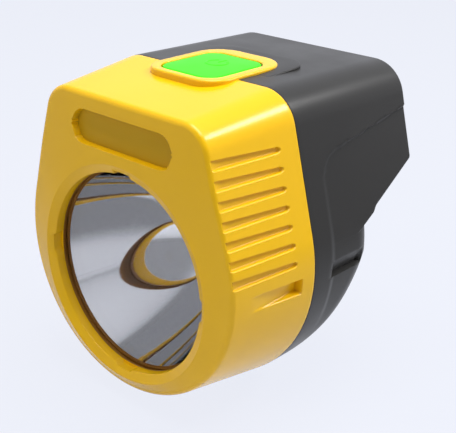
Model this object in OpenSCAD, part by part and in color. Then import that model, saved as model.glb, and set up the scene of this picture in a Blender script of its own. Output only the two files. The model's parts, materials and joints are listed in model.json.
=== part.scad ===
// Cordless miner's cap lamp: a round-bottomed front shell with a deep reflector,
// a rear housing that reaches back over a helmet clip, and a push button on top.
// Origin: centre of the clip plate's outer face, where a helmet bracket bears. +Y points back, +Z up.
// Every piece is its own node; named clearances set the fits between them.

/* [Overall size] */
// Greatest width, across the round lower body
body_w = 74.5; // [70:0.5:80]
// How far the upper body reaches back over the clip seat
overhang = 18.5; // [16:0.5:24]
// Height of the housing top above the heat sink's upper post
top_room = 12.8; // [11.6:0.2:15]
// Height of the back wall, from the top down to the tip of the slanted underside
back_h = 23.8; // [22:0.2:26]
// How far the clip seat's centre lies below the inner corner of the underside
clip_room = 11.1; // [10.8:0.1:13]
// Angle of the slanted underside from level
slant = 24.2; // [20:0.2:27]
// Height of the lower round's centre above the lens axis
round_rise = 3.5; // [2.5:0.1:4.5]

/* [Front shell] */
// Depth of the front shell, from the front face to the joint with the rear housing
split_d = 26.2; // [24:0.2:27]
// How much smaller the lower round is at the front face, per side
front_in = 3.3; // [2:0.1:4]
// How much lower the top is at the front face
front_drop = 2.8; // [1:0.1:3.2]
// Rounding of the front edge
front_round = 2.2; // [1:0.1:3]
// Radius of the long top corner rounds
corner_r = 9.4; // [8:0.2:11]
// Half width of the flat top between the corner rounds
flat_half = 19.9; // [19:0.1:21]
// Wall thickness of both shells
wall = 2.4; // [1.8:0.1:2.8]
// Thickness of the front wall round the lens
front_wall = 3.4; // [3:0.1:3.8]

/* [Lens and reflector] */
// Radial width of the bevel in front of the lip
bevel_side = 2.2; // [2:0.1:3.2]
// Radial overlap of the lip over the gasket
lip_over = 1.2; // [0.8:0.1:2]
// Outer radius of the gasket that grips the lens rim
seat_r = 26; // [25.6:0.1:26.3]
// Thickness of the lens
lens_t = 1; // [0.9:0.1:1.6]
// Thickness of the gasket before, behind and round the lens
gasket_t = 0.4; // [0.3:0.1:0.6]
// Radial step from the seat in to the reflector's rim
rim_step = 1.6; // [1.4:0.1:3]
// Depth of the reflector's curve, from its rim to where it would close
cup_depth = 28.8; // [28:0.1:29.5]
// Half the length of the long oval whose end gives the reflector's curve
cup_long = 64; // [56:1:80]
// Radius of the hole at the back of the reflector
cup_hole_r = 6; // [5.8:0.1:6.6]
// Thickness of the reflector's cup
cup_t = 1; // [0.8:0.1:1.2]
// Thickness of the reflector's flange
flange_t = 1.2; // [0.8:0.1:1.6]
// Radial gap round the lens, reflector flange and retaining ring
seat_gap = 0.15; // [0.05:0.05:0.3]
// Thickness of the wall round the lens seat
seat_wall = 2.2; // [1.6:0.1:2.4]
// Length of the reflector's retaining ring
ring_t = 2; // [1.5:0.1:2.5]

/* [Light source] */
// Radius of the heat sink's disc
sink_r = 23; // [21:0.5:23]
// Thickness of the heat sink's disc
sink_t = 2; // [1.8:0.1:2.4]
// Length of the heat sink's fins
fin_l = 2.4; // [2:0.2:3]
// Thickness of each fin
fin_t = 1.6; // [1:0.1:2]
// Distance between the fins
fin_gap = 7; // [5:0.5:8]
// Radius of the LED board
led_board_r = 5.2; // [4.6:0.1:5.4]
// Thickness of the LED board
led_board_t = 1; // [0.8:0.1:1.6]
// Side of the LED package
led_w = 3.5; // [3:0.1:5]

/* [Button] */
// Width of the button, side to side
button_w = 18.4; // [16:0.2:19]
// Length of the button, front to back
button_l = 21.9; // [20:0.1:23]
// Distance of the button's centre behind the front face
button_y = 30.35; // [30:0.05:31]
// Corner radius of the button
button_r = 6; // [4:0.2:7]
// Gap round the button
button_gap = 0.3; // [0.25:0.05:0.4]
// How far the button travels
travel = 0.6; // [0.4:0.1:0.6]
// Height of the collar above the housing top
collar_h = 1.1; // [0.8:0.1:1.4]
// How far the button's face lies below the collar's top
button_sink = 0.2; // [0:0.1:0.5]
// Width of the collar's side rim beside the button
rim_side = 2.7; // [2.6:0.1:3.2]
// Width of the collar's front rim
rim_front = 2.8; // [2.7:0.1:3.2]
// Width of the collar's rear rim
rim_back = 5.2; // [4.6:0.2:6]
// Thickness of the lip that keeps the button in
keeper_t = 1.1; // [0.9:0.1:1.2]
// Step of the button's flange beyond its face
flange_step = 1; // [0.8:0.1:1.1]
// Thickness of the button's flange
flange_h = 0.7; // [0.6:0.1:0.8]

/* [Switch and board] */
// Side of the switch body
switch_w = 6; // [5:0.5:8]
// Radius of the switch plunger
plunger_r = 1.7; // [1.4:0.1:1.9]
// Thickness of the control board
board_t = 1.2; // [0.8:0.2:1.6]
// Half width of the control board
board_half = 16; // [15:0.5:16]
// Length of the control board
board_l = 40; // [38:1:41]
// Radius of the screws that hold the board and the heat sink
small_screw_r = 1; // [0.8:0.1:1.1]

/* [Battery] */
// Length of each flat cell, side to side
cell_l = 43; // [38:0.5:44]
// Width of each flat cell
cell_w = 30; // [28:0.5:30]
// Thickness of each flat cell
cell_t = 8.2; // [7.8:0.2:8.6]
// Thickness of the foam pads
pad_t = 1.1; // [0.8:0.1:1.2]
// Gap between the heat sink's fins and the lower cell, held by a foam pad
cell_room = 1.7; // [1:0.1:3]
// Gap between the two cells, where the leads pass
lead_room = 2.9; // [2.5:0.1:4]

/* [Fasteners] */
// Radius of the housing screws' shanks
screw_r = 1.5; // [1.2:0.1:1.6]
// Radius of the housing screws' heads
head_r = 2.6; // [2.4:0.1:2.7]
// How far the upper housing screws lie outside the flat top's edge
top_screw_out = 2.6; // [2.1:0.1:2.7]
// How far the upper housing screws lie below the housing top
top_screw_down = 7.2; // [7:0.1:7.6]
// How far the lower housing screws lie inside the lower round
low_screw_in = 6.3; // [6.1:0.1:6.6]
// Turn of the lower housing screws below the round's centre
low_screw_turn = 34.5; // [33:0.5:36]

/* [Helmet clip] */
// Width of the clip
clip_w = 18; // [16:0.5:22]
// Thickness of the clip's steel
clip_t = 1.2; // [1:0.1:1.5]
// Gap between the clip's plate and its tongue
clip_gap = 5; // [4.5:0.1:6]
// Length of the clip's plate
clip_plate = 16; // [15:0.5:18]
// Length of the clip's tongue below the bend
clip_tongue = 31; // [26:0.5:34]

/* [Hidden] */

eps = 0.01;
low_r = body_w / 2;
front_low_r = low_r - front_in;
front_corner_r = corner_r - 1.7;
front_flat = flat_half - 0.6;
front_rise = round_rise + 0.5;
bottom = round_rise - low_r;
back_bevel = 1;
bevel_d = front_wall - 2.3;

lens_y = front_wall + gasket_t;
lens_r = seat_r - gasket_t;
lip_r = seat_r - lip_over;
bevel_r = lip_r + bevel_side;
rim_r = seat_r - rim_step;
flange_y = lens_y + lens_t + gasket_t;
ring_y = flange_y + flange_t;
pocket_r = seat_r + seat_gap;
vertex_y = flange_y + cup_depth;
oval_y = vertex_y - cup_long;
oval_k = rim_r / sqrt(cup_long * cup_long - (flange_y - oval_y) * (flange_y - oval_y));
cup_y = oval_y + sqrt(cup_long * cup_long - pow(cup_hole_r / oval_k, 2));
post_y = cup_y + 0.4;
led_y = post_y - led_board_t - 0.8;
post_r = 2.9;
post_at = 29.5;
post_turns = [90, 195, 345];
sink_head_r = 1.9;
sink_head_l = 1.3;

block_t = 1.2;
sink_back = post_y + sink_t + fin_l;
low_cell_y = sink_back + cell_room;
seat_in = low_cell_y + cell_t + pad_t + block_t;
seat_d = seat_in + wall;
body_d = seat_d + overhang;
top_h = post_at + post_r + top_room;
tip_h = top_h - back_h;
seat_h = tip_h - overhang * tan(slant) - clip_room;
tail_r = seat_d - split_d - 0.8;

collar_top = top_h + collar_h;
button_top = collar_top - button_sink;
keeper_z = collar_top - keeper_t;
flange_top = keeper_z - 0.3;
flange_bottom = flange_top - flange_h;
skirt = 0.85;
tongue_bottom = flange_bottom - travel - 0.1;
shelf_top = tongue_bottom - skirt;
shelf_bottom = shelf_top - 1.5;
collar_w = button_w + 2 * button_gap + 2 * rim_side;
collar_y0 = button_y - button_l / 2 - button_gap - rim_front;
collar_y1 = button_y + button_l / 2 + button_gap + rim_back;
shelf_w = collar_w - 0.8;
switch_h = 3.5;
board_top = shelf_bottom - 0.1 - switch_h;
board_bottom = board_top - board_t;
board_y0 = button_y - 10.35;
plunger_top = shelf_top - 0.05;

cell_y = body_d - wall - pad_t - cell_w;
upper_cell_z = board_bottom - 2.6 - cell_t;
low_cell_z = upper_cell_z - lead_room - cell_w;
top_screw_x = flat_half + top_screw_out;
top_screw_z = top_h - top_screw_down;
low_screw_x = (low_r - low_screw_in) * cos(low_screw_turn);
low_screw_z = round_rise - (low_r - low_screw_in) * sin(low_screw_turn);
shank_y = split_d + 6;
well_r = head_r + 0.4;

// Places a piece drawn from the front face and the lens axis into the clip's frame.
module clip_frame() {
    translate([0, -seat_d - clip_t, -seat_h]) children();
}

// Runs a shape drawn in X and Z along Y from y0 over a length.
module along_y(y0, len) {
    translate([0, y0 + len, 0]) rotate([90, 0, 0]) linear_extrude(len) children();
}

// Runs a shape drawn in Y and Z along X, centred, over a width.
module along_x(width) {
    translate([-width / 2, 0, 0]) rotate([90, 0, 90]) linear_extrude(width) children();
}

module ring(outer, inner, y0, len, fn = 72) {
    along_y(y0, len) difference() {
        circle(outer, $fn = fn);
        circle(inner, $fn = fn);
    }
}

module rod(r, y0, len, fn = 28) {
    along_y(y0, len) circle(r, $fn = fn);
}

// Points of an arc about c, from angle a to angle b.
function arc(c, r, a, b, n) =
    [for (i = [0:n]) c + r * [cos(a + (b - a) * i / n), sin(a + (b - a) * i / n)]];

// Angle at which the outer tangent of the lower round and the corner round leaves both.
function lean(top, rc, flat, rb, rise) =
    atan2(top - rc - rise, flat) - acos((rb - rc) / norm([flat, top - rc - rise]));

// Outline of the body: a flat top, two corner rounds and one lower round, joined by tangents.
function outline(top, rc, flat, rb, rise) =
    let (th = lean(top, rc, flat, rb, rise))
    concat(
        arc([flat, top - rc], rc, 90, th, 7),
        arc([0, rise], rb, th, -180 - th, 36),
        arc([-flat, top - rc], rc, 180 - th, 90, 7)
    );

module slab(y, top, rc, flat, rb, rise) {
    along_y(y, eps) polygon(outline(top, rc, flat, rb, rise));
}

// The front shell's form, g inside its outer face.
module front_form(g, y0, y1) {
    function share(y) = 1 - y / split_d;
    module level(y, extra) {
        s = share(y);
        slab(y, top_h - front_drop * s - g - extra, corner_r - 1.7 * s - g - extra * 0.6,
            flat_half - 0.6 * s - extra * 0.4, low_r - front_in * s - g - extra,
            round_rise + 0.5 * s);
    }
    hull() {
        level(y0, y0 == 0 ? front_round : 0);
        if (y0 == 0) level(front_round * 0.3, front_round * 0.29);
        if (y0 == 0) level(front_round, 0);
        level(y1 - eps, 0);
    }
}

// How far the bottom has risen at distance y, along the tail's round.
function tail_rise(y) =
    let (d = max(0, y - (seat_d - tail_r))) tail_r - sqrt(max(0, tail_r * tail_r - d * d));

// Everything under the plane of the slanted underside, g inside it.
module under_slant(g, y0) {
    drop = g / cos(slant);
    along_x(body_w + 20) polygon([
        [y0 - 1, tip_h + drop - (body_d - y0 + 1) * tan(slant)],
        [body_d + 5, tip_h + drop + 5 * tan(slant)],
        [body_d + 5, bottom - 10],
        [y0 - 1, bottom - 10]
    ]);
}

// The lower body's form, g inside its outer face. It closes in towards the clip seat.
module lower_form(g, y0) {
    module level(y, side) {
        rb = low_r - side - g;
        slab(y - g * (y - split_d) / (seat_d - split_d), top_h - g, corner_r - g, flat_half,
            rb, bottom + tail_rise(y) + g + rb);
    }
    intersection() {
        hull() {
            slab(y0, top_h - g, corner_r - g, flat_half, low_r - g, round_rise);
            level(split_d + 8, 0);
            level(split_d + 14, 0.1);
            level(seat_d - 7, 0.4);
            level(seat_d - 3, 1.7);
            level(seat_d - 1, 3.5);
            level(seat_d - eps, 7);
        }
        under_slant(g, y0);
    }
}

// The upper body's form, g inside its outer face, cut off below by the slanted underside.
module upper_form(g, y0) {
    difference() {
        along_y(y0, body_d - g - y0)
            polygon(outline(top_h - g, corner_r - g, flat_half, low_r - g, round_rise));
        under_slant(g, y0);
        along_x(body_w + 20) polygon([
            [body_d - g - back_bevel, top_h - g + 1],
            [body_d - g - back_bevel, top_h - g],
            [body_d - g, top_h - g - back_bevel],
            [body_d - g + 1, top_h - g + 1]
        ]);
    }
}

module rear_form(g, y0) {
    lower_form(g, y0);
    upper_form(g, y0);
}

// Rounded oblong in X and Y, from y0 to y1, standing on z and h high.
module pad_block(width, y0, y1, r, z, h) {
    translate([0, 0, z]) linear_extrude(h) rounded(width, y0, y1, r);
}

module rounded(width, y0, y1, r) {
    polygon(concat(
        arc([width / 2 - r, y1 - r], r, 90, 0, 6),
        arc([width / 2 - r, y0 + r], r, 0, -90, 6),
        arc([-width / 2 + r, y0 + r], r, -90, -180, 6),
        arc([-width / 2 + r, y1 - r], r, 180, 90, 6)
    ));
}

// The collar's outline: rounded in front, cut corners behind.
module collar_shape(grow = 0) {
    w = collar_w / 2 + grow;
    y0 = collar_y0 - grow;
    y1 = collar_y1 + grow;
    polygon(concat(
        [[w - 5, y1], [w - 0.8, y1 - 5]],
        arc([w - 7, y0 + 7], 7, 0, -90, 6),
        arc([-w + 7, y0 + 7], 7, -90, -180, 6),
        [[-w + 0.8, y1 - 5], [-w + 5, y1]]
    ));
}

// A wire through the given points.
module wire(points, r) {
    for (i = [0:len(points) - 2]) {
        a = points[i];
        d = points[i + 1] - a;
        translate(a) rotate([0, acos(d[2] / norm(d)), atan2(d[1], d[0])])
            cylinder(r = r, h = norm(d), $fn = 16);
    }
    for (i = [1:1:len(points) - 2]) translate(points[i]) sphere(r * 1.25, $fn = 10);
}

module at_housing_screws() {
    for (s = [-1, 1]) {
        translate([s * top_screw_x, 0, top_screw_z]) children();
        translate([s * low_screw_x, 0, low_screw_z]) children();
    }
}

module at_sink_posts() {
    for (a = post_turns) translate([post_at * cos(a), 0, post_at * sin(a)]) children();
}

// ---- Front ----

groove_n = 7;
groove_step = 4.2;
groove_top = top_h - 11.2;
groove_back = 20.6;
groove_front = 1.4;
stadium_w = 32.4;
stadium_h = 8.2;
stadium_z = (top_h - front_drop + bevel_r) / 2 - 0.8;

// Half width of the front shell at height z and distance y from the face.
function shell_half(y, z) =
    let (
        s = 1 - y / split_d,
        top = top_h - front_drop * s,
        rc = corner_r - 1.7 * s,
        flat = flat_half - 0.6 * s,
        rb = low_r - front_in * s,
        rise = round_rise + 0.5 * s,
        th = lean(top, rc, flat, rb, rise),
        t = [rb * cos(th), rise + rb * sin(th)]
    )
    z > t[1] ? t[0] - (z - t[1]) * tan(th) : sqrt(rb * rb - (z - rise) * (z - rise));

module side_grooves() {
    for (i = [0:groove_n - 1]) {
        z = groove_top - i * groove_step;
        front_x = shell_half(groove_front, z) - 1.5;
        back_x = shell_half(groove_back, z) - 0.7;
        translate([0, 0, z - 1.1]) linear_extrude(1.7) polygon([
            [front_x, groove_front], [back_x, groove_back],
            [back_x + 3, groove_back], [front_x + 6, groove_front]
        ]);
    }
}

notch_front = 7;
notch_back = 22.3;
notch_h = 3.8;
notch_z = 2.9;
notch_deep = 1.6;

module side_notch() {
    translate([0, 0, notch_z - notch_h / 2]) linear_extrude(notch_h) polygon([
        [shell_half(notch_front, notch_z), notch_front],
        [shell_half(notch_back, notch_z) - notch_deep, notch_back],
        [shell_half(notch_back, notch_z) + 4, notch_back],
        [shell_half(notch_front, notch_z) + 4, notch_front]
    ]);
}

module lip_notches() {
    for (a = [0, 90, 180, 270])
        rotate([0, a, 0]) translate([-2.6, bevel_d - 0.5, lip_r - 1])
            cube([5.2, front_wall - bevel_d + 1, 1.9]);
}

module front_bezel() {
    color("gold") clip_frame() difference() {
        union() {
            difference() {
                front_form(0, 0, split_d);
                front_form(wall, front_wall, split_d + 1);
            }
            ring(pocket_r + seat_wall, seat_r - 1, front_wall - 0.5, ring_y + ring_t - front_wall + 0.5);
            at_sink_posts() rod(post_r, front_wall - 0.5, post_y - front_wall + 0.5);
            intersection() {
                at_housing_screws() rod(3.4, 10, split_d - 10);
                front_form(0.2, 0, split_d);
            }
            translate([0, 0, tongue_bottom]) linear_extrude(collar_top - tongue_bottom) collar_shape();
        }
        // Lens opening: bevel, lip and pocket.
        translate([0, -eps, 0]) rotate([-90, 0, 0])
            cylinder(r1 = bevel_r, r2 = lip_r, h = bevel_d + eps, $fn = 96);
        rod(lip_r, bevel_d - 0.1, front_wall, 96);
        rod(pocket_r, front_wall, 12, 96);
        lip_notches();
        // Bare badge recess above the lens.
        along_y(-1, 2.5) translate([0, stadium_z]) polygon(concat(
            arc([stadium_w / 2 - stadium_h / 2, 0], stadium_h / 2, 90, -90, 14),
            arc([-stadium_w / 2 + stadium_h / 2, 0], stadium_h / 2, 270, 90, 14)
        ));
        for (s = [0, 1]) mirror([s, 0, 0]) {
            side_grooves();
            side_notch();
        }
        at_sink_posts() rod(small_screw_r + 0.02, post_y - 7, 9, 24);
        at_housing_screws() rod(screw_r + 0.02, split_d - 9, 11);
        // Groove for the housing seal.
        along_y(split_d - 0.8, 2) difference() {
            polygon(outline(top_h - 0.8, corner_r - 0.8, flat_half, low_r - 0.8, round_rise));
            polygon(outline(top_h - 1.6, corner_r - 1.6, flat_half, low_r - 1.6, round_rise));
            translate([-collar_w / 2 - 1, top_h - 8]) square([collar_w + 2, 20]);
        }
        // Room for the button, its flange and the housing's shelf.
        pad_block(button_w + 2 * button_gap, button_y - button_l / 2 - button_gap,
            button_y + button_l / 2 + button_gap, button_r + button_gap, shelf_bottom - 5, 30);
        pad_block(button_w + 2 * flange_step + 0.6, button_y - button_l / 2 - flange_step - 0.3,
            button_y + button_l / 2 + flange_step + 0.3, button_r + flange_step, shelf_bottom - 5,
            keeper_z - shelf_bottom + 5);
        pad_block(shelf_w + 0.2, collar_y0 + 0.3, split_d + 1, 1, shelf_bottom - 0.5,
            tongue_bottom - shelf_bottom + 0.5);
    }
}

module lens_gasket() {
    color("black") clip_frame() difference() {
        ring(seat_r, lip_r + 0.1, front_wall, lens_t + 2 * gasket_t, 96);
        rod(lens_r, lens_y, lens_t, 96);
    }
}

module front_lens() {
    color([0.85, 0.92, 1, 0.4]) clip_frame() rod(lens_r, lens_y, lens_t, 96);
}

function cup_r(y) = oval_k * sqrt(cup_long * cup_long - (y - oval_y) * (y - oval_y));

module reflector() {
    n = 14;
    inner = [for (i = [0:n]) let (y = flange_y + (cup_y - flange_y) * i / n) [cup_r(y), y]];
    outer = [for (i = [0:n]) let (y = cup_y - (cup_y - ring_y) * i / n) [cup_r(y) + cup_t, y]];
    color("silver") clip_frame() rotate([-90, 0, 0]) rotate_extrude($fn = 64)
        polygon(concat(inner, outer, [[seat_r, ring_y], [seat_r, flange_y]]));
}

module retaining_ring() {
    color("dimgray") clip_frame() ring(seat_r + 0.05, cup_r(ring_y) + cup_t + 0.1, ring_y, ring_t, 72);
}

module heat_sink() {
    color("lightgray") clip_frame() difference() {
        union() {
            rod(sink_r, post_y, sink_t, 64);
            rod(led_board_r, led_y + led_board_t + 0.4, post_y - led_y - led_board_t - 0.3, 32);
            at_sink_posts() rod(post_r, post_y, sink_t);
            for (a = post_turns) rotate([0, -a, 0])
                translate([sink_r - 3, post_y + 0.2, -2]) cube([post_at - sink_r + 3, sink_t - 0.4, 4]);
            along_y(post_y + sink_t - 0.1, fin_l + 0.1) intersection() {
                circle(sink_r - 1, $fn = 64);
                for (i = [-2:2]) translate([i * fin_gap - fin_t / 2, -30]) square([fin_t, 60]);
            }
        }
        at_sink_posts() rod(small_screw_r + 0.2, post_y - 1, sink_t + 2, 24);
        for (s = [-1, 1]) translate([s * 3.6, 0, 0]) rod(0.7, led_y, 40, 16);
    }
}

module led_board() {
    color("white") clip_frame() difference() {
        rod(led_board_r, led_y + 0.4, led_board_t, 48);
        for (s = [-1, 1]) translate([s * 3.6, 0, 0]) rod(0.52, led_y, led_board_t + 2, 16);
    }
}

module led_package() {
    color("ivory") clip_frame()
        translate([-led_w / 2, led_y - 0.2, -led_w / 2]) cube([led_w, 0.6, led_w]);
}

module led_dome() {
    color([1, 0.9, 0.5, 0.7]) clip_frame() translate([0, led_y - 0.2, 0]) rotate([90, 0, 0])
        rotate_extrude($fn = 32) polygon(concat([[0, 0]], arc([0, 0], led_w * 0.42, 0, 82, 8),
            [[0, led_w * 0.42 * sin(82)]]));
}

module screw(r, head, length, head_l, y) {
    translate([0, y - length, 0]) rotate([-90, 0, 0]) difference() {
        union() {
            cylinder(r = r, h = length + 0.1, $fn = 24);
            translate([0, 0, length]) cylinder(r = head, h = head_l, $fn = 32);
        }
        for (a = [0, 90]) rotate([0, 0, a]) translate([-head * 0.6, -0.3, length + head_l - 0.8])
            cube([head * 1.2, 0.6, 2]);
    }
}

module sink_screws() {
    color("silver") clip_frame() at_sink_posts() screw(small_screw_r, sink_head_r, 8, sink_head_l, post_y + sink_t);
}

module housing_seal() {
    color("black") clip_frame() along_y(split_d - 0.8, 0.8) difference() {
        polygon(outline(top_h - 0.9, corner_r - 0.9, flat_half, low_r - 0.9, round_rise));
        polygon(outline(top_h - 1.5, corner_r - 1.5, flat_half, low_r - 1.5, round_rise));
        translate([-collar_w / 2 - 1, top_h - 8]) square([collar_w + 2, 20]);
    }
}

// ---- Rear ----

pocket_y0 = 33;
pocket_y1 = 45;
pocket_z = 3.2;
pocket_h = 4;

module side_pocket() {
    translate([0, 0, pocket_z - pocket_h / 2]) linear_extrude(pocket_h) polygon([
        [low_r - 0.8, pocket_y0], [low_r - 2, pocket_y1], [low_r + 6, pocket_y1], [low_r + 6, pocket_y0]
    ]);
}

pad_side = 3;
pad_rise = 0.9;
pad_y0 = collar_y1 - 14;
pad_y1 = collar_y1 + 2.6;

panel_deep = 0.35;
panel_y = 33.4;
panel_top = 30;

// Shallow panel on each side of the upper body.
module side_panels() {
    rise = (body_d - panel_y - 7) * tan(8);
    difference() {
        for (s = [0, 1]) mirror([s, 0, 0]) translate([20, 0, 0]) rotate([90, 0, 90])
            linear_extrude(30) polygon(concat(
                [[body_d + 1, panel_top + rise], [body_d + 1, bottom], [panel_y, bottom]],
                arc([panel_y + 7, panel_top - 7], 7, 180, 98, 8)
            ));
        along_y(split_d, body_d) polygon(outline(top_h - panel_deep, corner_r - panel_deep,
            flat_half, low_r - panel_deep, round_rise));
    }
}

contact_x = 9;
contact_r = 3;
contact_z = top_h - 6.7;
shelf_rib_x = 15;
board_post_y = [split_d + 4, board_y0 + board_l - 4];

module rear_housing() {
    color("#333333") clip_frame() difference() {
        union() {
            difference() {
                rear_form(0, split_d);
                rear_form(wall, split_d - 1);
            }
            // Shelf under the button and the collar.
            pad_block(shelf_w, collar_y0 + 0.5, collar_y1 - 0.3, 1, shelf_bottom, 1.5);
            pad_block(shelf_w + 4, split_d + 0.3, collar_y1 + 3, 1, shelf_bottom, top_h - shelf_bottom - 0.5);
            // Low pad behind the collar.
            intersection() {
                pad_block(collar_w + 2 * pad_side, pad_y0, pad_y1, 6.5, top_h - 1, 4);
                along_x(body_w) polygon([
                    [pad_y0, top_h - 1], [pad_y0, top_h], [pad_y1, top_h + pad_rise], [pad_y1, top_h - 1]
                ]);
            }
            // Tubes for the housing screws.
            intersection() {
                union() {
                    at_housing_screws() rod(well_r + 1.1, split_d, body_d - split_d, 32);
                }
                rear_form(0.3, split_d);
            }
            // Posts for the control board.
            for (s = [-1, 1], y = board_post_y)
                translate([s * 13.4, y, board_top]) cylinder(r = 2.2, h = top_h - wall - board_top + 0.5, $fn = 24);
            // Ribs that carry the upper cell.
            for (s = [-1, 1]) translate([s * shelf_rib_x, 0, 0]) along_x(2) polygon([
                [seat_d - 2, tip_h + wall - (overhang + 2) * tan(slant) - 1],
                [body_d - wall + 0.3, tip_h - wall * tan(slant)],
                [body_d - wall + 0.3, upper_cell_z],
                [seat_d - 2, upper_cell_z]
            ]);
            // Block behind the clip seat.
            translate([-clip_w / 2, seat_in - block_t, seat_h - 8]) cube([clip_w, block_t + 0.5, 16]);
        }
        // Collar pocket.
        translate([0, 0, tongue_bottom]) linear_extrude(20) collar_shape(0.15);
        pad_block(shelf_w, split_d - 5, collar_y1 - 0.3, 1, shelf_top, skirt + 0.01);
        translate([0, button_y, shelf_bottom - 1]) cylinder(r = 5.5, h = 4, $fn = 40);
        at_housing_screws() rod(screw_r + 0.2, split_d - 1, 9);
        at_sink_posts() rod(sink_head_r + 0.3, post_y + sink_t - 0.1, sink_head_l + 0.4, 24);
        at_housing_screws() rod(well_r, shank_y, body_d, 32);
        for (s = [-1, 1], y = board_post_y)
            translate([s * 13.4, y, board_top - 1]) cylinder(r = small_screw_r + 0.02, h = 5, $fn = 24);
        for (s = [0, 1]) mirror([s, 0, 0]) side_pocket();
        side_panels();
        for (s = [-1, 1]) translate([s * contact_x, 0, contact_z]) {
            rod(1.6 + 0.02, body_d - wall - 2, wall + 4);
            rod(contact_r + 0.1, body_d - 1, 3, 32);
        }
        for (s = [-1, 1]) translate([s * 5, 0, seat_h]) rod(screw_r + 0.02, seat_in - 3, wall + 5);
    }
}

module housing_screws() {
    color("silver") clip_frame() at_housing_screws() screw(screw_r, head_r, 14, 2, shank_y);
}

// ---- Button and switch ----

module power_button() {
    color("lime") clip_frame() {
        pad_block(button_w, button_y - button_l / 2, button_y + button_l / 2, button_r, flange_bottom,
            button_top - flange_bottom);
        pad_block(button_w + 2 * flange_step, button_y - button_l / 2 - flange_step,
            button_y + button_l / 2 + flange_step, button_r + flange_step, flange_bottom, flange_h);
    }
}

module button_membrane() {
    color("gray") clip_frame() {
        pad_block(button_w + 2 * flange_step + 0.6, collar_y0 + 1.2, collar_y1 - 1, 4, shelf_top, 0.6);
        translate([0, button_y, shelf_top + 0.5]) cylinder(r1 = 4.4, r2 = 3, h = flange_bottom - shelf_top - 0.5, $fn = 32);
    }
}

module switch_body() {
    color("#222222") clip_frame() translate([0, button_y, board_top]) difference() {
        translate([-switch_w / 2, -switch_w / 2, 0]) cube([switch_w, switch_w, switch_h]);
        translate([0, 0, 1.4 - travel]) cylinder(r = plunger_r + 0.05, h = switch_h, $fn = 32);
    }
}

module switch_plunger() {
    color("white") clip_frame() translate([0, button_y, board_top + 1.5])
        cylinder(r = plunger_r, h = plunger_top - board_top - 1.5, $fn = 32);
}

module control_board() {
    color("darkgreen") clip_frame() difference() {
        translate([-board_half, board_y0, board_bottom]) cube([2 * board_half, board_l, board_t]);
        for (s = [-1, 1], y = board_post_y)
            translate([s * 13.4, y, board_bottom - 1]) cylinder(r = small_screw_r + 0.2, h = 4, $fn = 24);
    }
}

// Driver, inductor, charge controller and capacitors under the board.
module board_parts() {
    color("#444444") clip_frame() {
        translate([-9, board_y0 + 5, board_bottom - 1.5]) cube([5, 4, 1.5]);
        translate([2, board_y0 + 5, board_bottom - 2.2]) cube([6.5, 6.5, 2.2]);
        translate([-8, board_y0 + 22, board_bottom - 1.5]) cube([5, 5, 1.5]);
        translate([3, board_y0 + 20, board_bottom - 1]) cube([3.2, 1.6, 1]);
        translate([3, board_y0 + 24, board_bottom - 1]) cube([3.2, 1.6, 1]);
        translate([8, board_y0 + 30, board_bottom - 1]) cube([2, 1.2, 1]);
    }
}

module board_screws() {
    color("silver") clip_frame() for (s = [-1, 1], y = board_post_y)
        translate([s * 13.4, y, board_bottom]) rotate([-90, 0, 0]) screw(small_screw_r, 1.8, 4.4, 1.2, 0);
}

// ---- Battery ----

module cell(y, z, dy, dz) {
    translate([0, y, z]) {
        difference() {
            translate([-cell_l / 2, 0, 0]) cube([cell_l, dy, dz]);
            for (s = [-1, 1]) translate([s * cell_l / 2, dy / 2, dz / 2])
                cube([2.4, dy < dz ? 20 : 6, dy < dz ? 6 : 20], center = true);
        }
    }
}

module upper_cell() {
    color("steelblue") clip_frame() cell(cell_y, upper_cell_z, cell_w, cell_t);
}

module lower_cell() {
    color("steelblue") clip_frame() cell(low_cell_y, low_cell_z, cell_t, cell_w);
}

module foam_pads() {
    color("dimgray") clip_frame() {
        translate([-cell_l / 2 + 3, cell_y + cell_w, upper_cell_z + 1])
            cube([cell_l - 6, pad_t, cell_t - 2]);
        translate([-clip_w / 2 + 1, seat_in - block_t - pad_t, seat_h - 7]) cube([clip_w - 2, pad_t, 14]);
        translate([-14, sink_back, low_cell_z + 4])
            cube([28, low_cell_y - sink_back, min(cell_w, sink_r - low_cell_z) - 12]);
    }
}

module battery_leads() {
    front = cell_y - 1.3;
    high = upper_cell_z + cell_t - 2;
    low = low_cell_z + cell_w;
    middle = low + lead_room / 2;
    color("red") clip_frame() for (s = [-1, 1]) {
        wire([[s * 2, cell_y, high], [s * 2, front, high], [s * 2, front, board_bottom]], 0.6);
        wire([[s * 6, low_cell_y + 1.5, low], [s * 6, low_cell_y + 1.5, middle],
            [s * 6, front, middle], [s * 6, front, board_bottom]], 0.6);
    }
}

// From the LED board through the heat sink and up between its fins.
module led_leads() {
    back = post_y + sink_t + 1;
    color("white") clip_frame() for (s = [-1, 1])
        wire([[s * 3.6, led_y + 0.5, 0], [s * 3.6, back, 0], [s * 3.6, back, board_bottom]], 0.5);
}

module charge_contacts() {
    color("goldenrod") clip_frame() for (s = [-1, 1]) translate([s * contact_x, 0, contact_z]) {
        rod(contact_r, body_d - 1, 1, 32);
        rod(1.6, body_d - wall - 2.4, wall + 1.6, 24);
        rod(2.4, body_d - wall - 1.6, 1.6, 6);
    }
}

// ---- Helmet clip ----

module clip_side() {
    bend = clip_gap / 2 + clip_t;
    top = seat_h + clip_plate / 2;
    mid = seat_d + bend;
    translate([seat_d, top - clip_plate]) square([clip_t, clip_plate]);
    translate([mid, top]) intersection() {
        difference() {
            circle(bend, $fn = 48);
            circle(clip_gap / 2, $fn = 48);
        }
        translate([-20, 0]) square([40, 20]);
    }
    translate([mid + clip_gap / 2, top - clip_tongue]) square([clip_t, clip_tongue]);
    translate([mid + clip_gap / 2, top - clip_tongue]) rotate(-28) translate([0, -4]) square([clip_t, 4.4]);
}

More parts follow.
